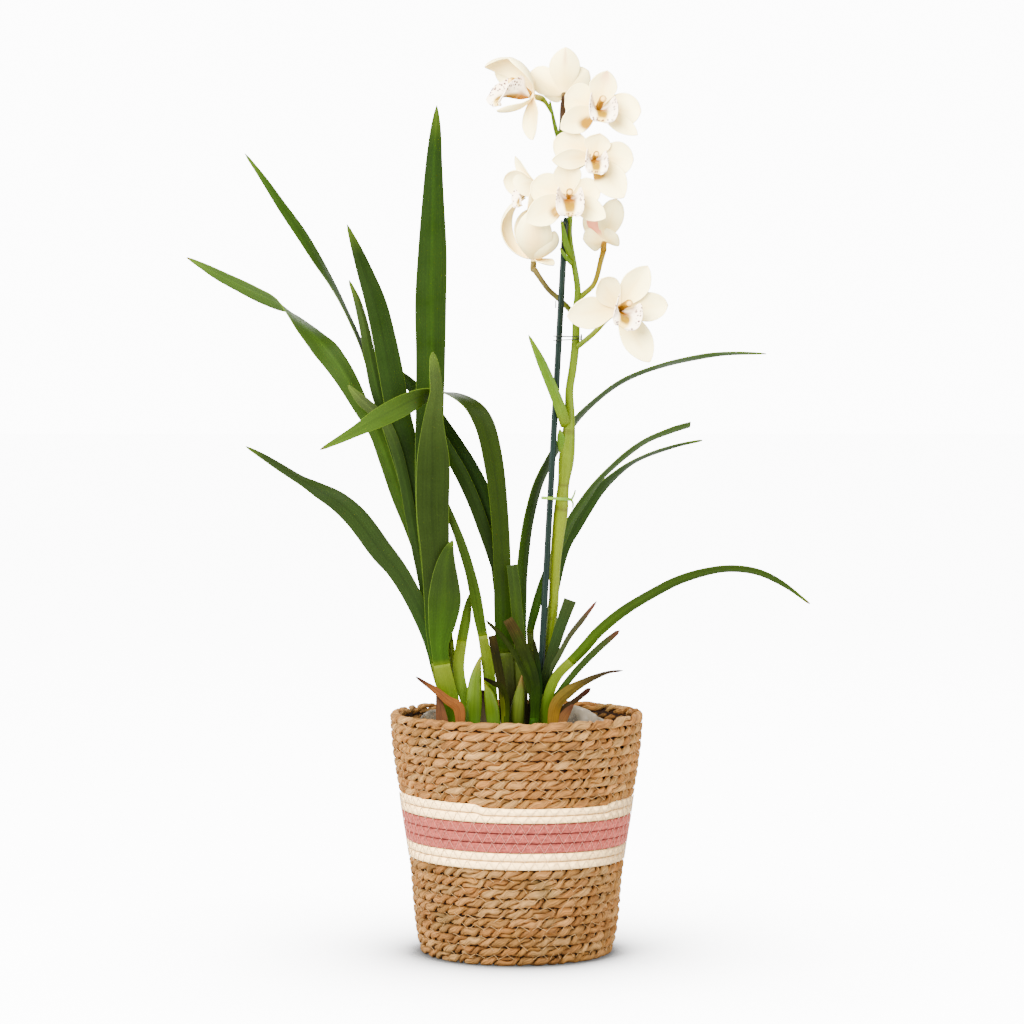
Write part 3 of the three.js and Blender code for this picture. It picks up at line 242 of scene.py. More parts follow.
# Living strap leaf: leathery, veined along its length, faint sheen, some light through it
LEAF = plain("leathery_strap_leaf", 0.5, 30, 90, 0.82, 1.14, 0.1, mottle=0.07, grain=60, soft=0.03,
             shine=0.09)
# Living leaf sheath: firmer and waxier than the leaf, so its sheen is clearer
SHEATH = plain("leaf_sheath", 0.5, 26, 60, 0.84, 1.12, 0.14, mottle=0.08, grain=80, soft=0.05, shine=0.2)
# Living petal: waxy ivory, light spreads in it and keeps its shadows pale
TEPAL = plain("ivory_petal", 0.55, 16, 60, 0.965, 1.02, 0.1, mottle=0.015, grain=120, soft=0.12,
              shine=0.12)
# Living flower stalk: fleshy and satin, with long soft streaks
STALK = plain("fleshy_stalk", 0.45, 14, 40, 0.86, 1.1, 0.15, mottle=0.08, grain=110, soft=0.05, shine=0.2)
# Bract, dried: papery, with raised veins in clearly darker and paler stripes
DRY = plain("papery_dry_bract", 0.7, 16, 30, 0.6, 1.25, 0.3, mottle=0.15, grain=120, shine=0.15)
# Leaf stub, cut and dried: dull, blotched and almost black in places
STUB = plain("dried_leaf_stub", 0.6, 14, 30, 0.6, 1.25, 0.25, mottle=0.2, grain=120, shine=0.05)
# Bark, broken and moist: rough dark brown with damp patches that shine more
BARK = plain("moist_bark", 0.8, 6, 8, 0.6, 1.3, 0.6, mottle=0.2, grain=200)
# Polypropylene pot, moulded thin: even dark grey brown, satin
POT = plain("moulded_pot_plastic", 0.45, 60, 30, 0.95, 1.05, 0.03, mottle=0.05, grain=300)
# Cane with a plastic coat: smooth dark green, one soft highlight along it
CANE = plain("dark_green_cane", 0.4, 8, 60, 0.85, 1.15, 0.05, mottle=0.08, grain=90, shine=0.2)
# Raffia, dyed and dried flat: satin green with a few long fibres
RAFFIA = plain("flat_raffia", 0.55, 6, 20, 0.85, 1.12, 0.1)
# Tie wire with a plastic coat: dark and satin, too thin for any pattern to show
WIRE = plain("coated_tie_wire", 0.4, 2, 3, 0.8, 1.2, 0.08, mottle=0.05)

# Living lip: as the petals, with dark maroon spots where the spot mask is set, 430 cells a metre
LIP, lip_tree, lip_shader, lip_color = surface("orchid_lip", 0.5, 14, 30, 0.97, 1.02, 0.08,
                                               mottle=0.015, grain=120, soft=0.05, shine=0.1)
mask = add(lip_tree, "Attribute", attribute_name="spots")
spot_place = add(lip_tree, "TexCoord")
cells = add(lip_tree, "TexVoronoi", {"Vector": spot_place.outputs["Object"], "Scale": 430.0})
inner = add(lip_tree, "MapRange", {"Value": cells.outputs["Distance"], 1: 0.3, 2: 0.42, 3: 1.0,
                                   4: 0.0})
share = add(lip_tree, "Math", {0: inner.outputs[0], 1: mask.outputs["Fac"]}, operation="MULTIPLY")
spotted = add(lip_tree, "Mix", {0: share.outputs[0], 6: lip_color.outputs[0],
                                7: (*linear("4A1826"), 1)}, data_type="RGBA")
lip_tree.links.new(spotted.outputs[2], lip_shader.inputs["Base Color"])

# Clear film, crumpled: thin and glossy, with strong pale and dark streaks that are painted highlights and
# painted shade of its creases, and what is behind it showing faintly
FILM, _, film_shader, _ = surface("creased_clear_film", 0.18, 14, 26, 0.3, 1.7, 1.4,
                                  mottle=0.08, grain=70, rough_spread=0.08)
film_shader.inputs["Alpha"].default_value = 0.6


class Piece:
    """One mesh under construction, with a tint and texture lengths."""

    def __init__(self, name):
        self.name = name
        self.mesh = bmesh.new()
        self.lengths = self.mesh.loops.layers.uv.new("UVMap")
        self.tint = self.mesh.verts.layers.float_color.new("tint")
        self.spots = self.mesh.verts.layers.float.new("spots")

    def grid(self, across, along, place, tint, length=100.0, spots=None):
        """place and tint take u across and v along, each from 0 to 1; length is in mm."""
        made = bmesh.ops.create_grid(self.mesh, x_segments=across, y_segments=along, size=0.5)
        where = {}
        for vert in made["verts"]:
            u, v = vert.co.x + 0.5, vert.co.y + 0.5
            where[vert] = (u, v * length / 100)
            vert.co = place(u, v) * MM
            vert[self.tint] = (*tint(u, v), 1)
            if spots:
                vert[self.spots] = spots(u, v)
        for face in {f for vert in made["verts"] for f in vert.link_faces}:
            for loop in face.loops:
                loop[self.lengths].uv = where[loop.vert]

    def tube(self, curve, sides, along, tint):
        """Stem along rows x, y, z, radius, closed at its ends; an oval one has its depth radius last."""
        frames = []
        for i in range(along + 1):
            s = curve.length * i / along
            row = curve.at(s)
            t = curve.along(s)
            guide = vec(1, 0, 0) if abs(t.y) > 0.92 else vec(0, 1, 0)
            side = guide.cross(t).normalized()
            frames.append((Vector(row[:3]), side * row[3], t.cross(side) * row[-1]))

        def place(u, v):
            k = round(v * (along + 2)) - 1
            p, a, b = frames[min(max(k, 0), along)]
            if k < 0 or k > along:
                return p
            return p + a * math.cos(TURN * u) + b * math.sin(TURN * u)

        self.grid(sides, along + 2, place, lambda u, v: tint(u, clamp((v * (along + 2) - 1) / along)),
                  curve.length)

    def turned(self, profile, around, tint, move=None):
        """Body of revolution over a profile of radius and height; move shifts its points."""
        last = len(profile) - 1

        def place(u, v):
            r, z = profile[round(v * last)]
            angle = TURN * u
            point = vec(r * math.cos(angle), r * math.sin(angle), z)
            return move(point, angle, r, z) if move else point

        self.grid(around, last, place, tint)

    def finish(self, material, slot, *nodes, thick=0.0, weld=False):
        """Closes the mesh into an object that rides on the root; thick is in mm."""
        if weld:
            bmesh.ops.remove_doubles(self.mesh, verts=self.mesh.verts, dist=1e-6)
            bmesh.ops.recalc_face_normals(self.mesh, faces=self.mesh.faces)
        data = bpy.data.meshes.new(self.name)
        self.mesh.to_mesh(data)
        self.mesh.free()
        data.shade_smooth()
        data.materials.append(material)
        made = bpy.data.objects.new(self.name, data)
        bpy.context.scene.collection.objects.link(made)
        if thick:
            solid = made.modifiers.new("thickness", "SOLIDIFY")
            solid.thickness = thick * MM
            solid.offset = 0
        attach(made, "root")
        if nodes:
            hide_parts(*nodes)


# Basket: the profile of its outer side, and its courses of two ply rope
SIDE = Curve([[69], [73], [75.5], [77], [78.8], [80.5], [83.3], [86.5], [89.3], [92.5], [94.7], [95.5],
              [94.6]], [0, 4, 14, 24, 44, 64, 84, 104, 124, 144, 164, 178, 182])


def outside(z):
    return SIDE.at(z)[0]


def tilted(r, angle, z):
    """A point of the basket, with the small climb of its courses to the left."""
    x = r * math.cos(angle)
    k = math.sin(math.pi * clamp(z / BASKET_H))
    return vec(x, r * math.sin(angle), z - BAND_TILT * k * x / BASKET_R)


def step_up(angle):
    """The cream cord starts a course early over part of the round."""
    x = math.cos(angle) * BASKET_R
    front = smooth(0.2, -0.2, math.sin(angle))
    return 2.6 * (1 - smooth(-34, -26, x)) * front + 2.2 * smooth(72, 80, x) * front


def seam(k):
    """Height of the joint under course k."""
    groups = (LOW_ROPES, LOW_CREAM, PINK_CORDS, HIGH_CREAM, HIGH_ROPES)
    for group, low, high in zip(groups, (0, *BANDS), (*BANDS, BASKET_H)):
        if k <= group.stop:
            return low + (high - low) * (k - group.start) / len(group)


def seam_at(k, angle):
    """The joint at one angle, with the early cream cord under the first courses above it."""
    push = {16: 0.6, 17: 1.0, 18: 0.66, 19: 0.33}.get(k, 0)
    return seam(k) + push * step_up(angle)


STRAW = [linear(c) for c in ("AF7A3A", "B98346", "A26C33", "BC8C4F", "A87238", "A5743A")]
OLIVE_STRAW = linear("7E7448")


def strand(seed, k):
    """Colour of one visible strand."""
    pick = random.Random(f"{seed}-{k}")
    return pick.choice(STRAW) * pick.uniform(0.74, 1.16)


def straw(seed, s):
    """Colour of a ply at s turns: whole visible strands differ."""
    k = math.floor(s)
    return strand(seed, k).lerp(strand(seed, k + 1), smooth(0.8, 1.0, s - k))


def rope(piece, seed, radius, height, size, pitch=23.0, shade=1.0):
    """One course of two plies twisted together; radius and height take the angle, pitch is in mm."""
    around = TURN * radius(0)
    turns = max(round(around / pitch), 1)
    along = max(int(around / 2.1), 12)
    hub, wide = size * 0.5, size * 0.74
    for ply in (0, 1):
        def place(u, v):
            angle = TURN * v
            c, s = math.cos(angle) * 3, math.sin(angle) * 3
            phase = TURN * turns * v + math.pi * ply + 2.2 * ripple(c * 3, s * 3, seed * 1.7)
            a = TURN * u
            fat = 1 + 0.3 * ripple(c * 9, s * 9, seed * 3.1 + ply * 7) + 0.16 * math.cos(phase)
            crease = 0.22 * ripple(math.cos(a) * 2.2 + seed, math.sin(a) * 2.2 + ply * 5, along * v * 0.13)
            e1 = hub * fat * math.cos(a) + crease
            e2 = wide * fat * math.sin(a)
            out = hub * math.cos(phase) + e1 * math.cos(phase) - e2 * math.sin(phase)
            up = hub * math.sin(phase) + e1 * math.sin(phase) + e2 * math.cos(phase)
            lift = 0.5 * ripple(c * 4, s * 4, seed * 0.9 + 40)
            return tilted(radius(angle) + out, angle, max(height(angle) + up + lift, 0.1))

        def tint(u, v):
            color = straw(seed * 2 + ply, turns * v + 0.5 * ply + 0.25)
            a, b = TURN * u, TURN * v
            crack = ripple(math.cos(a) * 3 + seed, math.sin(a) * 3, v * along * 0.2)
            olive = ripple(math.cos(b) * 2.2, math.sin(b) * 2.2, seed * 0.45 + 3)
            color = color.lerp(OLIVE_STRAW, 0.45 * smooth(0.35, 0.75, olive))
            return color * (1 - 0.35 * smooth(0.25, 0.6, crack)) * shade

        piece.grid(8, along, place, tint, around)


def course(piece, k, **more):
    """Rope course k of the wall."""
    low, high = seam(k), seam(k + 1)
    z = (low + high) / 2
    size = (high - low) / 2
    rope(piece, k + 1, lambda a: outside(z) - size - 0.15,
         lambda a: (seam_at(k, a) + seam_at(k + 1, a)) / 2, size * 1.02, **more)


def cord(piece, k, color, puff, period, face, fleck_depth=0.06, painted_seam_shade=0.4):
    """One flatter cord of a coloured band, drawn in a little at each stitch."""
    around = TURN * outside((seam(k) + seam(k + 1)) / 2)
    bumps = round(around / period)

    def place(u, v):
        angle = TURN * v
        low, high = seam_at(k, angle), seam_at(k + 1, angle)
        c, s = math.cos(TURN * u), math.sin(TURN * u)
        c = math.copysign(abs(c) ** (2 / face), c)
        s = math.copysign(abs(s) ** 0.72, s)
        swell = puff * (abs(math.sin(bumps * angle / 2 + k)) ** 0.7 - 0.7)
        swell += 0.35 * ripple(math.cos(angle) * 22, math.sin(angle) * 22, k + u * 3)
        mid, half = (low + high) / 2, (high - low) / 2
        return tilted(outside(mid) - 3.4 + 3.2 * c + swell * max(c, 0), angle, mid + half * 0.97 * s)

    def tint(u, v):
        c, s = math.cos(TURN * v), math.sin(TURN * v)
        fleck = ripple(c * 60, s * 60, u * 9 + k) + 0.8 * ripple(c * 26, s * 26, u * 5 + k * 3)
        # Painted shade in the seams between the cords, along each cord's upper and lower edge
        groove = smooth(0.72, 1.0, abs(math.sin(TURN * u))) * (0.55 + 0.45 * ripple(c * 48, s * 48, k * 7))
        return color * (1 + fleck_depth * fleck) * (1 - painted_seam_shade * groove)

    piece.grid(14, int(around / 1.5), place, tint, around)


def stitches(piece, path, radius, color, size):
    """Thread through places of angle and height; radius takes both."""
    last = len(path) - 1
    points = [tilted(radius(a, z), a, z) for a, z in path]

    def place(u, v):
        k = round(v * last)
        t = (points[min(k + 1, last)] - points[max(k - 1, 0)]).normalized()
        out = vec(math.cos(path[k][0]), math.sin(path[k][0]), 0)
        side = t.cross(out).normalized()
        turn = TURN * u
        return points[k] + (out * math.cos(turn) + side * math.sin(turn)) * size

    piece.grid(4, last, place, lambda u, v: color, last + 1)


def zigzag(low, high, period, shift):
    """Angles and heights of a zigzag round the basket between two height functions."""
    steps = 4   # in one leg
    legs = 2 * round(TURN * BAND_R / period)
    path = []
    for i in range(legs * steps + 1):
        leg, k = divmod(i, steps)
        t = 1 - k / steps if leg % 2 else k / steps
        angle = TURN * (i / (legs * steps)) + shift
        wobble = 0.12 * ripple(leg * 0.7 + shift, shift * 9)
        path.append((angle, low(angle) + (high(angle) - low(angle)) * clamp(t + wobble, -0.1, 1.1)))
    return path


lower = Piece("basket_lower_ropes")
# Lower courses drawn darker: painted shade towards the foot of the basket
for k in LOW_ROPES:
    course(lower, k, shade=0.86)
for ring in range(9):   # the floor
    rope(lower, 60 + ring, lambda a: 4 + ring * 7.1, lambda a: 3.5, 3.45)
lower.finish(SEAGRASS, "seagrass", "basket_lower_coils")
upper = Piece("basket_upper_ropes")
for k in HIGH_ROPES[:-1]:
    course(upper, k)
# Rim course: a longer twist, drawn lighter, partly its paler strands and partly painted light on the top of
# the basket
course(upper, HIGH_ROPES[-1], pitch=38.0, shade=1.1)
upper.finish(SEAGRASS, "seagrass", "basket_upper_coils")
for side, cords in (("lower", LOW_CREAM), ("upper", HIGH_CREAM)):
    band = Piece(f"basket_cream_cords_{side}")
    for k in cords:
        cord(band, k, linear("EEC88C"), 0.8, 9.5, 3.0)
    band.finish(CREAM, "cream_fibre", f"basket_cream_band_{side}")
band = Piece("basket_pink_cords")
for k in PINK_CORDS:
    cord(band, k, linear("B65A4E"), 0.3, 4.6, 6.0, fleck_depth=0.3, painted_seam_shade=0.8)
band.finish(PINK, "pink_fibre", "basket_pink_band")

# Dark inner wall, seen only between the strands: its dark brown is painted shade of the rope's shaded inside
core = Piece("basket_painted_shade_wall")
core.turned([(outside(z) - 5, z) for z in range(2, 180, 4)], 96, lambda u, v: linear("3A2110"))
core.finish(SEAGRASS, "seagrass", thick=0.4, weld=True)

# Stitching: short slanted threads on the plain courses, zigzags on the coloured bands
thread = Piece("basket_stitching")
draw = random.Random(5)
for k in (*LOW_ROPES[1:], *HIGH_ROPES[1:]):
    count = round(TURN * outside(seam(k)) / 6)
    for i in range(count):
        a = TURN * (i + draw.uniform(-0.28, 0.28)) / count
        if draw.random() < 0.3:
            continue
        low, high = draw.uniform(1, 2.8), draw.uniform(1, 2.8)
        lean = draw.uniform(0.008, 0.024) * (1 if i % 2 else -1)
        m = seam_at(k, a)
        rows = [(a + lean * j, m + j * (high if j > 0 else low) / 2) for j in range(-2, 3)]
        stitches(thread, rows, lambda a, z: outside(z) - 0.1 - 0.9 * math.exp(-((z - m) / 0.9) ** 2),
                 linear("DDB275") * draw.uniform(0.65, 1.05), 0.19)
for k in (*LOW_CREAM, *PINK_CORDS, *HIGH_CREAM):
    path = zigzag(lambda a: seam_at(k, a), lambda a: seam_at(k + 1, a), 8.8, k * 1.1)
    stitches(thread, path, lambda a, z: outside(z) - 0.02,
             linear("DE9482" if k in PINK_CORDS else "D2BE9F"), 0.22)
thread.finish(THREAD, "cream_fibre")


# Film liner: it stands against the wall, its open edge waved and creased
FILM_TOP = 168   # before the waves of its edge
FILM_FOOT = 40   # radius of its flat middle
LINER_EDGE = Curve([[168], [168], [179.5], [176], [172], [178.5], [171], [168], [166], [167], [168]],
                   [0, 30, 60, 90, 120, 145, 170, 200, 270, 330, 360])


def crease(point, angle, r, z):
    if r > FILM_FOOT:
        edge = LINER_EDGE.at(math.degrees(angle) % 360)[0]
        wave = (edge - FILM_TOP) * smooth(140, FILM_TOP, z)
    else:
        wave = 0
    k = smooth(110, FILM_TOP, z)
    z = z + wave
    c, s = math.cos(angle), math.sin(angle)
    fold = abs(ripple(c * 7, s * 7, z * 0.05)) + 0.6 * abs(ripple(c * 16, s * 16, z * 0.09))
    lean = 7 * smooth(150, 170, z) * smooth(-0.1, 0.5, ripple(c * 2.5 + 9, s * 2.5, 2))
    back = r - (3.2 * fold * k + 0.6 * fold + lean) * (r > FILM_FOOT)
    return vec(back * c, back * s, z + (1.4 * ripple(c * 12, s * 12) * k))


heights = [9 + 3.2 * i for i in range(50)]
wall = [(outside(z) - WALL - 0.9, z) for z in heights]
foot = [(r, FLOOR + 0.8) for r in (0, FILM_FOOT, wall[0][0] - 4)]
liner = Piece("creased_liner")
liner.turned([*foot, *wall, (wall[-1][0], FILM_TOP)], 200, lambda u, v: linear("E2D2B8"), crease)
liner.finish(FILM, "liner_film", "liner", thick=0.25, weld=True)


def pot_r(z):
    return 60 + (z - POT_Z) * 18 / (POT_TOP - POT_Z)


# Pot: underside, outside, rim and inside
pot = Piece("plastic_pot")
shell = [(0, POT_Z + 4), (50, POT_Z + 4), (54, POT_Z), (58, POT_Z), (60, POT_Z + 1)]
shell += [(pot_r(z), z) for z in range(12, 150, 6)]
shell += [(pot_r(z) + step, top) for z, step, top in (
    (150, 0, 149.6), (150, 1.2, 149.8), (150, 1.6, 150.4), (157, 1.6, 157.2), (158, 1.1, 158),
    (158, -0.6, 158), (157, -1.3, 157))]
shell += [(pot_r(z) - 1.4, z) for z in range(150, 12, -12)] + [(58, POT_Z + 5.4), (0, POT_Z + 5.4)]
pot.turned(shell, 128, lambda u, v: linear("2B2624"))
pot.finish(POT, "pot_plastic", "nursery_pot", weld=True)

# Bark: an uneven filling with loose pieces on top
BARKS = [linear(c) for c in ("4A3324", "5C4130", "33231A", "6B4C36", "3D2B20")]
CHIPS = 430
fill = [(3 * i, SOIL - 2) for i in range(25)] + [(pot_r(SOIL) - 1.8, SOIL - 3)]
fill += [(pot_r(80) - 1.8, 80), (58, POT_Z + 6), (0, POT_Z + 6)]


def heap(point, angle, r, z):
    if z < SOIL - 4:
        return point
    x, y = point.x, point.y
    return point + vec(0, 0, 1.6 * ripple(x * 0.09, y * 0.09) + 0.9 * ripple(x * 0.4, y * 0.4))


bark = Piece("bark_filling")
bark.turned(fill, 72, lambda u, v: BARKS[0] * (1 + 0.3 * ripple(u * 40, v * 40)), heap)
draw = random.Random(11)
for _ in range(CHIPS):
    r, angle = 72 * math.sqrt(draw.random()), TURN * draw.random()
    made = bmesh.ops.create_icosphere(bark.mesh, subdivisions=1, radius=1)
    size = draw.uniform(2.2, 5.4)
    shape = vec(size, size * draw.uniform(0.45, 0.8), size * draw.uniform(0.25, 0.45))
    turn = vec(draw.uniform(-0.6, 0.6), draw.uniform(-0.6, 0.6), draw.uniform(0, TURN))
    color = draw.choice(BARKS) * draw.uniform(0.6, 1.5)
    middle = vec(r * math.cos(angle), r * math.sin(angle), SOIL - 0.6 + draw.uniform(-0.8, 1.6))
    c, s = math.cos(turn.z), math.sin(turn.z)
    for vert in made["verts"]:
        p = vert.co * (1 + 0.3 * ripple(*(vert.co * 1.7 + middle))) * shape
        p = vec(p.x * c - p.y * s, p.x * s + p.y * c, p.z + turn.x * p.x * 0.4 + turn.y * p.y * 0.4)
        vert.co = (middle + p) * MM
        vert[bark.tint] = (*color, 1)
bark.finish(BARK, "bark", "bark_mix", weld=True)


# Cane, which leans a little to the right, with a small stub on its left
def cane_at(z):
    x = seen(20.9 + 0.0545 * (z - 260), 0, z).x
    return [x, -4 + 4 * (z - SOIL) / (CANE_TOP - SOIL), z]


cane = Piece("green_cane")
rods = [[*cane_at(z), CANE_R] for z in (60.3, 150, 250, 350, 450, 540, CANE_TOP - 1.4)]
rods.append([*cane_at(CANE_TOP), CANE_R - 1.2])
cane.tube(Curve(rods), 20, 90, lambda u, v: linear("0D2219") * (1 + 0.12 * ripple(v * 30, u * 3)))
cane.tube(stem([(29.5, 486, 0.5, -6), (29.5, 491.6, 0.4, -6.4)]), 8, 3, lambda u, v: linear("445249"))
cane.finish(CANE, "cane", "support_cane", weld=True)

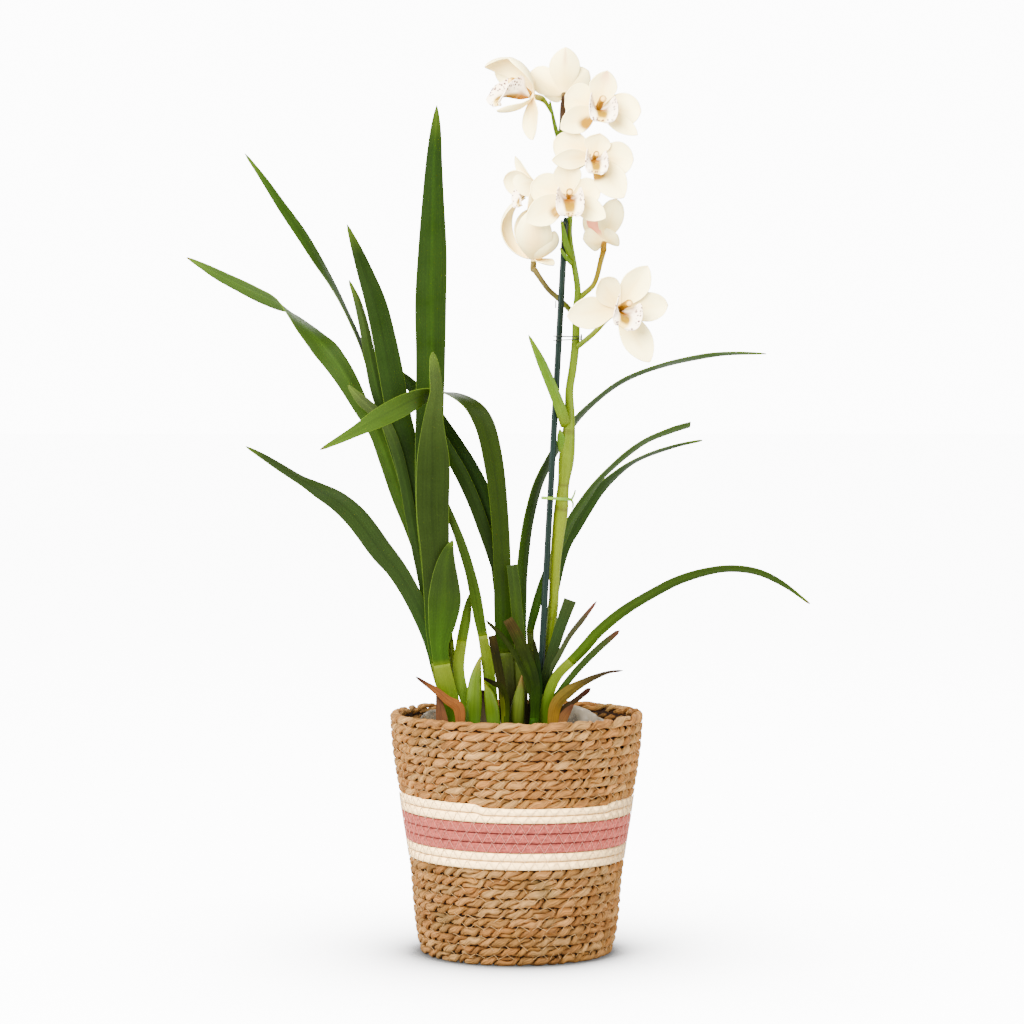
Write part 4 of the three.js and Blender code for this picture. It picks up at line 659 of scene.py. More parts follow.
# Leaves from the bulb to the tip: shoot, joint height, fold, rows of x, z, width, depth, and roll
# in degrees where the leaf turns over
LEAVES = {
    "a7": ("a", 217, 0.16, [
        [-48, 160, 16, -9], [-50, 185, 15, -13], [-54, 205, 13.5, -15.5], [-56.5, 217, 12.5, -16.5],
        [-58, 230, 13, -17], [-57.5, 240, 17, -17.3], [-56, 250, 21, -17.6], [-54.3, 265, 24.5, -18],
        [-54, 280, 20.5, -18.5], [-53.3, 292, 15, -19], [-51.5, 302, 9, -19], [-48.3, 311, 1.6, -19]]),
    "a6": ("a", 219, 0.14, [
        [-48, 160, 15, -6], [-51, 190, 14, -9], [-57, 215, 13, -12], [-61, 240, 14, -12.6],
        [-61.5, 270, 17, -13], [-61.5, 300, 21, -13.5], [-63.2, 335, 24.5, -14.3],
        [-62.8, 370, 24.5, -16], [-63, 390, 19, -17.6], [-62.3, 408, 13, -19.6, 10],
        [-60.4, 422, 10.5, -21.5, 25], [-61.3, 437, 9.5, -23, 30], [-63.2, 453, 4, -24.5, 30]]),
    "a5": ("a", 222, 0.12, [
        [-48, 160, 15, 0], [-51, 195, 13, -2.6], [-56.5, 222, 12.5, -3], [-60, 255, 14, -3],
        [-63, 290, 17, -3], [-65.5, 330, 20, -3], [-66, 370, 21, -2.6], [-65.4, 410, 21, -2],
        [-64.7, 450, 22, -1], [-64.6, 490, 23.4, 0], [-63.4, 525, 22, 2], [-62.8, 560, 17.5, 4],
        [-62, 595, 12.4, 7], [-60.7, 620, 8, 9], [-60, 638, 1.4, 11]]),
    "a9": ("a", 212, 0.16, [
        [-48, 160, 13, -3], [-52, 190, 12, -6], [-58, 212, 12, -7.6], [-63, 232, 12.5, -8],
        [-69, 249, 13.5, -8.3], [-80, 271.5, 14, -11], [-91, 289.5, 15, -14], [-102, 303, 17, -18],
        [-119.5, 326.5, 17, -26], [-134, 340, 15, -32, 8], [-150, 349.5, 12, -38, 28],
        [-163, 357, 9, -43, 50], [-180, 367.5, 7, -49, 40], [-192, 375, 5, -54, 40],
        [-204, 382, 1.4, -58, 40]]),
    "a8": ("a", 226, 0.16, [
        [-48, 160, 10, 2], [-51, 195, 9, 1.4], [-57, 226, 9, 0.8], [-66, 262, 9, 0.6],
        [-73, 295, 8.6, 0.6], [-79, 325, 8.4, 0.6], [-84.5, 355, 8, 0.6], [-90, 378, 8, 0.6],
        [-98, 398, 8, 1], [-108, 409, 8.5, 2], [-118, 418, 7.5, 5], [-127, 428, 2, 8]]),
    "a3": ("a", 228, 0.14, [
        [-48, 160, 14, 4], [-51, 195, 12, 4.4], [-55.6, 228, 12, 4.4], [-61, 262, 13, 4.4],
        [-66.5, 300, 14.5, 4.4], [-72.5, 335, 16, 4.4], [-80, 370, 17.5, 4.4], [-88.6, 405, 18.4, 4.4],
        [-95, 440, 18.4, 5], [-100, 465, 17.6, 6], [-106, 490, 16, 8], [-114.7, 515, 11.6, 11],
        [-121, 532, 7.4, 13], [-127.5, 549, 1.4, 16]]),
    "a4": ("a", 230, 0.14, [
        [-48, 160, 11, 7], [-50.5, 195, 10, 8], [-55, 230, 10, 8.2], [-61, 262, 10, 8.2],
        [-69, 300, 10, 8.2], [-77, 335, 10, 8.2], [-87.5, 370, 10.4, 8.2], [-97, 400, 10.4, 8.4],
        [-105, 425, 10.4, 8.6], [-110, 447, 9, 9], [-114.3, 470, 7.6, 12], [-120, 492, 5.4, 18],
        [-126, 507, 1.4, 22]]),
    "a2": ("a", 232, 0.14, [
        [-48, 160, 10, 10], [-50, 195, 9, 11.6], [-54, 232, 9, 12], [-59.5, 262, 9, 12],
        [-67.5, 295, 9, 12], [-77, 330, 9, 12.2], [-87, 365, 9, 13, 10], [-96, 393, 9, 14.4, 30],
        [-104, 416, 9, 16.4, 55], [-110, 437, 9, 17.5, 70], [-118, 462, 9, 18, 74],
        [-130, 488, 9, 20, 72], [-140, 506.7, 10, 24, 62], [-150, 522.7, 10, 28, 48],
        [-162, 542, 10, 33, 36], [-176, 562, 8, 38, 28], [-190, 582.7, 5, 43, 20],
        [-204, 602, 1.4, 48, 10]]),
    "a1": ("a", 234, 0.14, [
        [-48, 160, 12, 13], [-49.5, 195, 11, 15], [-53, 234, 11, 16], [-59, 262, 11, 16],
        [-68, 290, 11, 16], [-79, 320, 11, 16.2], [-89, 345, 11.4, 16.6], [-98, 372, 11.8, 17.4],
        [-106, 393, 11, 19], [-116.5, 411, 12.6, 22], [-129, 434, 16.4, 26], [-140, 450, 18.4, 30],
        [-150, 461.5, 18.4, 34, 34], [-160, 472, 18, 38, 56], [-170, 482.5, 17.6, 42, 82],
        [-181, 490, 17, 46, 118], [-195, 496.7, 16, 52, 128], [-210, 504, 13.2, 58, 134],
        [-228, 513, 9.6, 65, 138], [-248, 524, 1.4, 72, 140]]),
    "b12": ("b", 239, 0.16, [
        [-19, 160, 12, -10], [-19.3, 185, 11, -10.4], [-19.8, 200, 9.5, -10.6],
        [-22.3, 220, 8.5, -10.6], [-25.5, 239, 7.2, -10.6], [-28, 252, 8, -10.4],
        [-31, 269, 8.4, -10.2], [-35, 287, 7.4, -9.8], [-40.5, 305, 7, -9.2], [-47, 322.5, 6, -8.4],
        [-54, 338, 6, -7.6], [-60, 356, 1.4, -7.2]]),
    "b13": ("b", 235, 0.16, [
        [-32, 160, 10, -11.5], [-35.6, 180, 8.4, -12], [-41.4, 200, 8, -10.6], [-43.8, 215, 8.6, -8.6],
        [-41.3, 235, 8, -7], [-38.4, 250, 7.6, -6.4], [-36.8, 261, 5.6, -6], [-35.4, 270, 1.4, -5.6]]),
    "c10": ("c", 226, 0.14, [
        [-4, 160, 13, 4], [-7, 190, 13, 2], [-9, 226, 13, 0.6], [-10.4, 260, 13, 0], [-11, 300, 13, 0],
        [-13.5, 340, 13.4, -1], [-17, 368, 14.6, -3], [-22.5, 394, 15, -5.5, 8],
        [-28.5, 407, 15, -7.5, 28], [-37, 415.6, 14.4, -9.5, 55], [-47, 420.8, 13.6, -11, 74],
        [-57, 422.8, 13, -12, 96], [-66, 421.8, 13, -13, 128], [-76, 417.5, 14.4, -15, 160],
        [-88, 411.5, 16, -18, 178], [-104, 403.2, 14.4, -23, 180], [-121, 393.6, 8.6, -28, 180],
        [-136, 385.6, 5, -32, 180], [-148, 379.5, 1.4, -35, 180]]),
    "ca": ("c", 230, 0.14, [
        [-3, 160, 10, 8], [-5, 195, 10, 8], [-7.5, 230, 10, 8.4], [-11, 262, 10, 9],
        [-14.4, 292, 10, 9.6], [-18, 320, 10, 10.4], [-25.5, 349, 10, 12], [-34.2, 366.5, 10, 13.6],
        [-44.2, 382.2, 10, 18], [-54.6, 397.3, 10, 23], [-66, 413, 10, 29], [-78, 426.6, 9.4, 36],
        [-88, 435.6, 7, 42], [-97, 443, 1.4, 47]]),
    "cb": ("c", 224, 0.14, [
        [-2, 160, 9.5, 5.5], [-4, 190, 9.5, 5], [-6, 224, 9.5, 4.6], [-8.6, 262, 9.5, 4.6],
        [-12.6, 284, 9.5, 4.6], [-18.5, 303, 9.5, 4.8], [-25.6, 323, 9.6, 5], [-32.4, 341, 9.8, 5.4],
        [-40, 358, 10, 6], [-47.5, 372, 9.4, 6.6], [-55, 386, 7, 7], [-62, 399, 1.4, 7.4]]),
    "c14": ("c", 219, 0.16, [
        [4.5, 160, 9, 0], [4.4, 190, 8.6, -3], [3.2, 219, 8, -5.4], [1.6, 243, 8.6, -6],
        [0, 260, 8.6, -6.2], [-1.4, 276, 8.6, -6.4], [-3.4, 292.5, 8, -6.6]]),
    "c15": ("c", 221, 0.14, [
        [3, 160, 9, 3], [2.6, 190, 9, 3, 10], [2.6, 221, 10, 3.4, 20], [3.2, 250, 11, 4.6, 38],
        [4.4, 285, 11.6, 8, 46], [8.4, 320, 12, 13, 50], [15.4, 350, 12, 18, 54], [25, 371, 12, 21, 58],
        [36, 389, 12, 25, 64], [48, 405, 12, 28, 68], [63, 419, 12, 33, 72], [82, 431.8, 12, 39, 74],
        [105, 441, 12, 46, 74], [132, 447.8, 12, 53, 74], [160, 451.5, 9, 60, 72],
        [188, 451.5, 1.4, 66, 72]]),
    "c16": ("c", 241, 0.14, [
        [10, 160, 7, 5], [12, 190, 6, 5], [12.6, 220, 5.6, 5], [10.4, 241, 5.6, 5.4],
        [13.4, 256, 7, 7, 10], [18.6, 274, 7.6, 9.4, 25], [25.4, 292, 8, 12.2, 38],
        [33.4, 309, 8.6, 13, 44], [41, 325.5, 9, 13, 46], [51, 341, 9, 14, 50], [61, 354.5, 9, 17, 58],
        [71, 365, 9, 20, 62], [84, 376.4, 9, 25, 66], [99, 386.6, 9, 31, 64], [116, 393.6, 9, 37, 58],
        [131, 398.3, 6.6, 42, 52]]),
    "c17": ("c", 217, 0.14, [
        [13, 160, 6, 9], [16, 190, 6, 10.4], [20, 217, 6, 11.6], [25, 250, 6.4, 14.4, 10],
        [31, 284, 7.4, 18.6, 20], [37, 306.5, 8.6, 21, 24], [45, 321.5, 10, 23, 26],
        [53, 335.5, 11, 26, 30], [61.5, 347.4, 11, 30, 42], [72, 358, 11, 34, 58],
        [86, 368.4, 10, 41, 68], [102, 376.2, 9, 48, 72], [121, 382.3, 6, 56, 66],
        [140, 386.5, 1.4, 63, 60]]),
    "d18": ("d", 219.3, 0.16, [
        [25, 160, 10, -12], [22.6, 178, 9, -14.4], [24, 192, 8, -15.4], [27.6, 203, 7.6, -15.8],
        [33, 211.6, 7.4, -16], [41, 219.3, 7.4, -16], [50, 228.4, 8, -16], [62, 242, 8, -18],
        [80, 257, 7.8, -23], [100, 269.4, 7.2, -29], [122, 280.6, 7.4, -36, 24],
        [145, 287.6, 7.4, -43, 38], [165, 289.6, 7.2, -50, 44], [183, 286.6, 7, -55, 48],
        [202, 277.4, 5, -60, 48], [221.5, 263, 1.4, -64, 48]]),
}
# Leaf colours: above the joint, in the middle, at the tip
SHADES = {
    "a7": ("2C4705", "233307", "273909"), "a6": ("264305", "223105", "3D4D1B"),
    "a5": ("254007", "203504", "1C3204"), "a9": ("27450A", "26380F", "26370E"),
    "a8": ("263F09", "26390E", "3C481E"), "a3": ("223A06", "1E3204", "1D3004"),
    "a4": ("223906", "1F3307", "314312"), "a2": ("263D07", "243807", "2E4A0C"),
    "a1": ("2C4409", "31480F", "3A5412"), "b12": ("344A05", "2C3F08", "2A3C07"),
    "b13": ("48600F", "435A0E", "4C6414"), "c10": ("263F02", "223201", "466119"),
    # ca is darker than the other leaves: painted shade, as it lies in shadow behind other leaves
    "ca": ("1B2F01", "162A01", "1C3101"), "cb": ("1E3401", "1A2B01", "233905"),
    "c14": ("2A3C06", "243407", "26360C"), "c15": ("2A4607", "263C06", "2E480B"),
    "c16": ("2C4A09", "283E07", "30460D"), "c17": ("213904", "1E3403", "243907"),
    "d18": ("3A5206", "2B3F07", "2A3E0D"),
}
BLUNT = {"c14", "c16"}   # cut across
DRY_TIPS = {"c10", "d18", "a1", "c15"}


def strip(piece, curve, start, stop, fold, tint, along, across=10, sharp=True, wave=0.25, seed=0.0,
          cup=0.0):
    """Strap leaf piece over rows x, y, z, width, roll, with a folded midrib and a slightly waved edge."""
    rows = []
    for i in range(along + 1):
        s = start + (stop - start) * i / along
        row = curve.at(s)
        t = curve.along(s)
        flat = t.cross(vec(0, 1, 0)).normalized()
        back = t.cross(flat)
        side = flat * math.cos(row[4] * RAD) + back * math.sin(row[4] * RAD)
        left = max(stop - s, 0)
        half = max(row[3], 0.5) / 2
        if sharp and left < 12:
            half = min(half, 0.12 + 0.55 * math.sqrt(left * max(row[3], 1.0)))
        rows.append((Vector(row[:3]), side, t.cross(side), half, s))

    def place(u, v):
        p, side, face, half, s = rows[round(v * along)]
        w = math.sin(math.pi * (u - 0.5))
        rise = fold * half * (0.5 - math.sqrt(w * w + 0.012)) + cup * half * (w * w - 0.4)
        edge = wave * w * w * ripple(s * 0.035 + seed * 3, w * 0.9 + seed)
        return p + side * (half * w) + face * (rise + edge)

    piece.grid(across, along, place, tint, stop - start)


def blade_tint(name, seed, length):
    base, body, tip = (linear(c) for c in SHADES[name])
    joint = linear("4D6102")
    dry = linear("5C3916")
    fresh = 0 if name in BLUNT else 0.3

    def tint(u, v):
        s = v * length
        w = abs(2 * u - 1)
        color = joint.lerp(base, smooth(0, 5, s))
        color = color.lerp(body, smooth(6, 70, s))
        color = color.lerp(tip, smooth(0.62, 1.0, v))
        color = color * (1 + 0.09 * ripple(s * 0.012 + seed, u * 1.2, seed))
        # Paler green along both edges: a painted highlight of the leaf edges; the tip is made paler too
        color = color.lerp(linear("6E8A20"), 0.6 * smooth(0.86, 1.0, w) + fresh * smooth(0.92, 1.0, v))
        rib = smooth(0.09, 0.0, abs(u - 0.5))
        color = color * (1 + (-0.15 if seed % 2 else 0.32) * rib)
        if name in DRY_TIPS:
            color = color.lerp(dry, smooth(length - 5, length - 0.5, s))
        return color

    return tint


def joint_length(path, height):
    """Length along a leaf at which it reaches the height of its joint."""
    s = 0.0
    while s < path.length and path.at(s)[2] < height:
        s += 0.25
    return s


# Shoots: side, sheath colours at the foot and the top, bulb x, y, radius across and radius in depth
SHOOTS = {
    "a": ("left", "466A02", "667602", (-49, 0, 11, 16)),
    "b": ("middle", "4E6E04", "667604", (-26, -11.5, 13, 7)),
    "c": ("centre", "362F12", "48560A", (2, 6, 13, 9)),
    "d": ("right", "4E6C02", "687A02", (26.5, -11, 7, 6.5)),
}
sheaths = {key: Piece(f"{shoot[0]}_shoot_sheaths") for key, shoot in SHOOTS.items()}


def sheath_tint(key, seed):
    foot, top = (linear(c) for c in SHOOTS[key][1:3])

    def tint(u, v):
        color = foot.lerp(top, smooth(0.3, 0.95, v))
        vein = 0.05 * ripple(u * 9, v * 2, seed)
        edge = smooth(0.9, 1.0, abs(2 * u - 1))
        return (color * (1 + vein + 0.1 * ripple(v * 2, seed))).lerp(linear("424514"), 0.35 * edge)

    return tint


for seed, (name, (shoot, joint, fold, readings)) in enumerate(LEAVES.items()):
    path = strap(readings)
    split = joint_length(path, seen(0, readings[3][3], joint).z)
    strip(sheaths[shoot], path, 0, split, fold * 1.5, sheath_tint(shoot, seed), 20, sharp=False,
          wave=0.1, cup=0.12, seed=seed)
    leaf = Piece(f"{name}_blade")
    strip(leaf, path, split - 0.5, path.length, fold, blade_tint(name, seed, path.length - split), 80,
          sharp=name not in BLUNT, wave=0.7, seed=seed)
    leaf.finish(LEAF, "leaf", f"leaf_{name}", thick=0.7)


def bulb(piece, x, y, rx, ry, tint, rows, sides=28):
    """Upright oval body; rows give heights and shares of its radii."""
    piece.tube(Curve([[x, y, z, rx * k, ry * k] for z, k in rows]), sides, 18, tint)


def cone(piece, readings, tint):
    """Short outer sheath from readings of x, z, width, depth y and thickness."""
    piece.tube(Curve([[*seen(x, y, z), w / 2, d / 2] for x, z, w, y, d in readings]), 26, 30, tint)


def outer(foot, top, edge):
    """Colour of a short outer sheath: fresh green with a paler, drier tip."""
    a, b, c = linear(foot), linear(top), linear(edge)

    def tint(u, v):
        color = a.lerp(b, smooth(0.1, 0.7, v)).lerp(c, smooth(0.75, 1.0, v))
        return color * (1 + 0.08 * ripple(u * 14, v * 2))

    return tint


GREEN = outer("3C5D03", "587102", "737402")
DULL = outer("3E4A0C", "5A6A14", "7E5E2A")
# Dark brown of the middle and centre bulbs, seen between the sheaths: partly brown remains of old sheaths,
# partly painted shade of the gaps
REMAINS_AND_SHADE = outer("3A3A12", "34280E", "3C2412")
# Heights and shares of a shoot's bulb, with the cone of sheaths above it
TALL = ((SOCKET, 1), (SOIL, 1), (160, 1.02), (170, 0.86), (182, 0.62), (192, 0.36), (199, 0.1))
# Short outer sheaths of the shoots
CONES = {
    "b": [[[-32.4, 158, 12.6, -13, 10], [-32.2, 190, 12, -14, 10], [-31, 205, 9.4, -14, 7.6],
           [-29.2, 215, 5.6, -14, 5], [-27.2, 223, 1.0, -14, 1.0]],
          [[-17.6, 158, 10, -14.5, 6], [-18, 180, 11, -15, 6], [-20.4, 193, 8, -15.4, 5],
           [-24.6, 205, 1.0, -15.6, 1.0]]],
    "c": [[[1, 158, 10, -6, 8], [0.6, 180, 11, -10.5, 7], [2.4, 194, 8, -11, 5.4],
           [4.2, 209, 1.0, -11, 1.0]]],
}
STUB_JOINT = 34   # length of the cut leaf's sheath
stub_19 = strap([
    [21, 160, 8, -11], [20.6, 180, 7.6, -9.6], [21.6, 198, 7.4, -9], [24, 214, 8, -8.6],
    [28.4, 230, 8, -8.4], [34, 248, 8.6, -8.2], [40.6, 266, 9.6, -8]])
strip(sheaths["d"], stub_19, 0, STUB_JOINT, 0.2, sheath_tint("d", 3), 14, sharp=False)
for key, (side, _, _, place) in SHOOTS.items():
    sheaths[key].finish(SHEATH, "sheath", thick=1.7)
    core = Piece(f"{side}_shoot_core")
    bulb(core, *place, REMAINS_AND_SHADE if key in "bc" else GREEN, TALL)
    for readings in CONES.get(key, []):
        cone(core, readings, DULL if key == "c" else GREEN)
    core.finish(SHEATH, "sheath", f"shoot_{side}", weld=True)


def blade(piece, readings, tint, fold, along=26, sharp=True):
    """Small blade from the readings that strap takes."""
    path = strap(readings)
    strip(piece, path, 0, path.length, fold, tint, along, sharp=sharp, wave=0.3, across=8,
          seed=readings[0][0])


def fading(*codes):
    """Colour along a blade through evenly spaced hex colours."""
    stops = even(*codes)

    def tint(u, v):
        return blend(stops, clamp(v + 0.1 * ripple(u * 5, v * 6))) * (1 + 0.12 * ripple(u * 12, v * 3))

    return tint


# Cut leaves, stubs and dry bracts
cut = Piece("right_cut_leaves")
strip(cut, stub_19, STUB_JOINT + 0.2, stub_19.length, 0.2,
      fading("152902", "22300A", "243711", "2A3812"), 30, sharp=False)
blade(cut, [[22.4, 205, 4, -8.6], [26.4, 214, 4, -8.8], [31, 222, 4, -9], [40, 238.5, 4, -9],
            [50, 251.5, 4, -9], [60.5, 265, 1.4, -9]], fading("2C3A18", "38431F", "3A3A22", "5A3326"), 0.1)
cut.finish(LEAF, "leaf", "leaf_d19_cut_leaves", thick=0.7)
left = Piece("left_cut_stub")
bulb(left, -8, -16, 3.2, 3.2, fading("353202", "4F5209"),
     ((SOCKET, 1), (SOIL + 14, 1), (SOIL + 22, 0.7)), 14)
blade(left, [[-8.4, 165, 5, -16], [-9, 185, 6, -17], [-12, 205, 6.5, -18], [-15, 221, 6.5, -18.4],
             [-18.6, 239, 5.6, -18.6]], fading("5B6711", "4A5008", "242204", "1A1A03", "2A2106"), 0.16,
      sharp=False)
blade(left, [[-7.6, 172, 4, -16.6], [-7.6, 190, 4.4, -17.4], [-11, 199.6, 5, -18.2], [-18, 203.4, 3.4, -19],
             [-25, 207, 1.4, -19.4]], fading("314005", "242A02", "0D0302"), 0.1)
left.finish(STUB, "dry_stub", "cut_stub_left", thick=0.8)
centre = Piece("centre_cut_stubs")
bulb(centre, 13, -17.5, 3.8, 3.8, fading("254202", "213D02"),
     ((SOCKET, 1), (SOIL + 16, 1), (SOIL + 28, 0.7)), 14)
blade(centre, [[13.4, 168, 7, -17.5], [14.4, 200, 7, -19], [11.4, 213, 8, -19.4], [6, 226.5, 9, -19.8],
               [-1, 241.5, 8.6, -20], [-6.8, 251.4, 7.4, -20]],
      fading("243E04", "1C2F04", "1E2C05", "242C06", "3A2E10"), 0.14, sharp=False)
blade(centre, [[13, 170, 4, -16.4], [12.6, 185, 4, -15.4], [10, 198, 4, -14.8], [6, 210, 4, -14.4],
               [0, 222.6, 4, -14], [-10, 237.6, 3.6, -13.8], [-23, 250.6, 1.8, -13.6]],
      fading("2C4408", "28380B", "2A350C", "262A06"), 0.1)
blade(centre, [[14, 172, 4, -17.5], [17.4, 195, 4, -17.6], [17, 210, 3.8, -17.4], [15, 225, 3.6, -17.2],
               [13, 236, 1.6, -17]], fading("1A3302", "112802", "191B02"), 0.1)
centre.finish(STUB, "dry_stub", "cut_stubs_centre", thick=0.8)
RUST = fading("62361A", "8C5220", "7A461A", "3A1C0A")
bract = Piece("left_dry_bracts")
bulb(bract, -54, -20.6, 5, 2, RUST, ((SOCKET + 6, 1), (SOIL + 8, 1)), 14)
blade(bract, [[-54, 154, 10, -20.6], [-56, 172, 9.4, -20.6], [-58, 186, 6, -20.6], [-60, 197, 2, -20.6]],
      fading("643A20", "6E4426", "4A2E18"), 0.16)
blade(bract, [[-44, 156, 7, -21.4], [-42.6, 172, 7, -22.4], [-44, 184.5, 8.6, -22.6], [-52, 190, 6.6, -22.4],
              [-61, 197.6, 5, -21.6], [-69, 203, 3, -21], [-76, 208, 1.4, -20.4]], RUST, 0.2)
bract.finish(DRY, "dry_bract", "dry_bracts_left", thick=0.8)
bract = Piece("right_dry_bracts")
bulb(bract, 33, -20.6, 6, 2, RUST, ((SOCKET + 6, 1), (SOIL + 8, 1)), 14)
blade(bract, [[29, 154, 7, -20.4], [27.6, 172, 8, -20.8], [30, 187, 9, -21], [39, 196.6, 8.6, -21],
              [50, 203.3, 5.6, -21], [60, 208, 3.8, -21], [70, 211.4, 2, -21], [80.5, 212.5, 1.4, -21]],
      fading("65520F", "7C5A08", "5F4E10", "352A0A", "2E1508"), 0.2)
blade(bract, [[31, 154, 9, -20.8], [33, 172, 9, -20.6], [38, 181, 6, -20.2], [43, 187, 1.6, -20]],
      fading("8D502D", "754D22", "59321A"), 0.16)
blade(bract, [[30, 164, 4, -19.6], [31, 179, 4, -19.2], [37, 185, 4, -19], [45.4, 190.6, 4, -19],
              [56, 199.3, 4, -19]], fading("4A4F14", "332406", "331202"), 0.1)
bract.finish(DRY, "dry_bract", "dry_bracts_right", thick=0.8)
narrow = Piece("narrow_low_leaf")
blade(narrow, [[29.4, 192.5, 4, -18.8], [38, 203.6, 4.8, -19.4], [48, 215.4, 5, -21], [60, 227.6, 5, -24],
               [69, 235.6, 4.6, -27], [78, 243, 3, -29]],
      fading("213B02", "2E4410", "2C3F10", "303C14", "4A2C1B"), 0.12)
narrow.finish(LEAF, "leaf", "leaf_d21_narrow", thick=0.7)

# Flowers: c centre, n facing, u towards the top sepal, lip its size, stalk as x, z, radius, depth,
# t tepals as azimuth, length, width, lift at the base and at the tip, cup
FLOWERS = {
    1: {"c": [12, 2, 645], "n": [-0.86, -0.45, 0.22], "u": [0.15, 0.1, 1], "lip": 1.32,
        "stalk": [[27, 632, 1.4, 5], [22, 640, 1.6, 4]],
        "t": [[112, 54, 24, 8, 140, 0.42], [138, 40, 24, 4, 84, 0.3], [60, 40, 24, 24, 88, 0.3],
              [-75, 36, 18, 35, 80, 0.3], [280, 33, 24, -4, -10, 0.3]]},
    2: {"c": [35.5, 11, 647], "n": [-0.05, 0.8, 0.6], "u": [0, -0.6, 0.8], "lip": 1,
        "stalk": [[32, 612, 1.5, 6], [34, 624, 1.9, 9], [35, 636, 2.4, 10]],
        "t": [[92, 35.6, 23, 14, 8, 0.25], [26, 28.9, 23, 20, 30, 0.25],
              [146, 24.2, 22, 20, 30, 0.25], [-27, 18.9, 17, 30, 40, 0.25],
              [210, 21.9, 17, 30, 40, 0.25]]},
    3: {"c": [61, -33, 636], "n": [0.16, -0.98, 0.02], "u": [0.16, 0, 1], "lip": 1.12,
        "stalk": [[31, 613, 1.5, 4], [36, 618, 1.7, -3], [48, 627, 2.1, -16], [57, 634, 2.6, -26]],
        "t": [[89, 29, 21, 24, 34, 0.2], [4, 31.1, 25, 8, 20, 0.25], [171, 25.8, 27, 8, 12, 0.2],
              [-29, 36.4, 13, 20, 30, 0.2], [219, 34.4, 20, 20, 14, 0.25]]},
    4: {"c": [58, -31, 599], "n": [0.1, -0.98, -0.16], "u": [0.1, -0.16, 1], "lip": 0.88,
        "stalk": [[38, 586, 1.5, 3], [44, 590, 1.7, -6], [51, 595, 2.1, -17],
                  [56.4, 598.4, 2.6, -25]],
        "t": [[84, 18.9, 20, 12, 30, 0.2], [2, 28.5, 26, 4, 8, 0.2], [162, 31.9, 25, 6, 4, 0.2],
              [-48, 36.4, 23, 20, 12, 0.2], [186, 35.9, 15, 34, 20, 0.3]]},
    5: {"c": [39, -29, 570], "n": [0.04, -0.98, -0.16], "u": [0.02, -0.16, 1], "lip": 1.07,
        "stalk": [[40.4, 556, 1.5, 3], [42, 561, 1.7, -5], [41, 566, 2.1, -14],
                  [39.6, 569, 2.6, -23]],
        "t": [[95, 26.8, 21, 4, 20, 0.2], [15, 23.2, 21, 4, 4, 0.2], [163, 28.4, 25, 6, 6, 0.2],
              [-28, 32.1, 17, 24, 20, 0.2], [210, 37.5, 22, 24, 16, 0.2]]},
    6: {"c": [16, -9, 577], "n": [-0.86, -0.4, -0.3], "u": [-0.2, 0.1, 1], "lip": 0.86,
        "stalk": [[39.4, 566, 1.4, 3], [33, 568, 1.6, 1], [25, 573, 2.1, -4], [20, 575.6, 2.5, -7]],
        "t": [[92, 27.8, 14, 36, 0, 0.3], [18, 28, 20, 44, 82, 0.3], [142, 27.1, 23, 30, 50, 0.3],
              [-36, 33.8, 14, 40, 50, 0.3], [282, 15.9, 12, 30, 40, 0.3]]},
    7: {"c": [13, 12, 523], "n": [0.05, -0.25, 0.97], "u": [-0.97, 0, 0.2], "lip": 0.92,
        "stalk": [[45, 478, 2.2, 5], [40, 485, 2.1, 8.4], [31, 493.6, 2, 10], [24, 500, 2, 10.6],
                  [17, 509.6, 2, 10.6], [13.4, 515, 2.3, 10.4]],
        "t": [[72, 65.8, 22, 0, 160, 0.35], [12, 42.2, 27, 30, 84, 0.35],
              [180, 54.1, 27, 30, 84, 0.35], [-121, 17.1, 16, -4, -10, 0.3],
              [219, 35.6, 20, 20, 80, 0.35]]},
    8: {"c": [66, 7, 536], "n": [0.1, 0.66, 0.74], "u": [-0.2, -0.74, 0.66], "lip": 0.86,
        "stalk": [[46, 493, 2.2, 4], [52, 497.6, 2, 5], [57.6, 503, 1.9, 6], [60.6, 510, 1.9, 6.4],
                  [63, 520, 2, 6.6], [65.6, 530, 2.3, 6.8]],
        "t": [[82, 28.1, 20, 24, 50, 0.25], [27, 24.6, 18, 30, 60, 0.3],
              [114, 34.4, 19, 20, 30, 0.25], [1, 16.2, 24, 0, 30, 0.25],
              [162, 10.4, 20, 0, 30, 0.25]]},
    9: {"c": [77, -22, 486], "n": [0.28, -0.95, -0.1], "u": [0.42, 0.05, 0.9], "lip": 1.18,
        "stalk": [[45.6, 457, 2.2, 2], [53, 462.6, 2, -3], [60, 469, 2, -8], [67, 477, 2.1, -13],
                  [74.4, 484, 2.5, -18]],
        "t": [[84, 37, 22, 14, 10, 0.25], [28, 36.8, 22, 4, 4, 0.2], [154, 30.5, 21, 16, 30, 0.2],
              [-35, 45.4, 23, 16, 6, 0.2], [213, 41.4, 24, 8, 6, 0.2]]},
}
# Width along a petal and a sepal, as shares of the full width, over shares of the length
SHARES = [0, 0.16, 0.38, 0.6, 0.8, 0.94, 1]
PETAL = Curve([[0.26], [0.54], [0.9], [1.0], [0.82], [0.45], [0.02]], SHARES)
SEPAL = Curve([[0.26], [0.54], [0.9], [1.0], [0.75], [0.35], [0.02]], SHARES)
# Lip from its foot to its front: place up, place outwards, half width, lift of its sides
LIP_ROWS = Curve([[-1.8, 2.6, 2, 1.6], [-3.8, 7, 7.6, 9], [-4.6, 12, 11, 12.4], [-5.2, 17, 11.6, 8.4],
                  [-7, 20.6, 10.6, 3.6], [-9.6, 21.8, 8.2, 1.4], [-11.6, 20.8, 4.4, 0.4]],
                 [0, 1, 2, 3, 4, 5, 6])
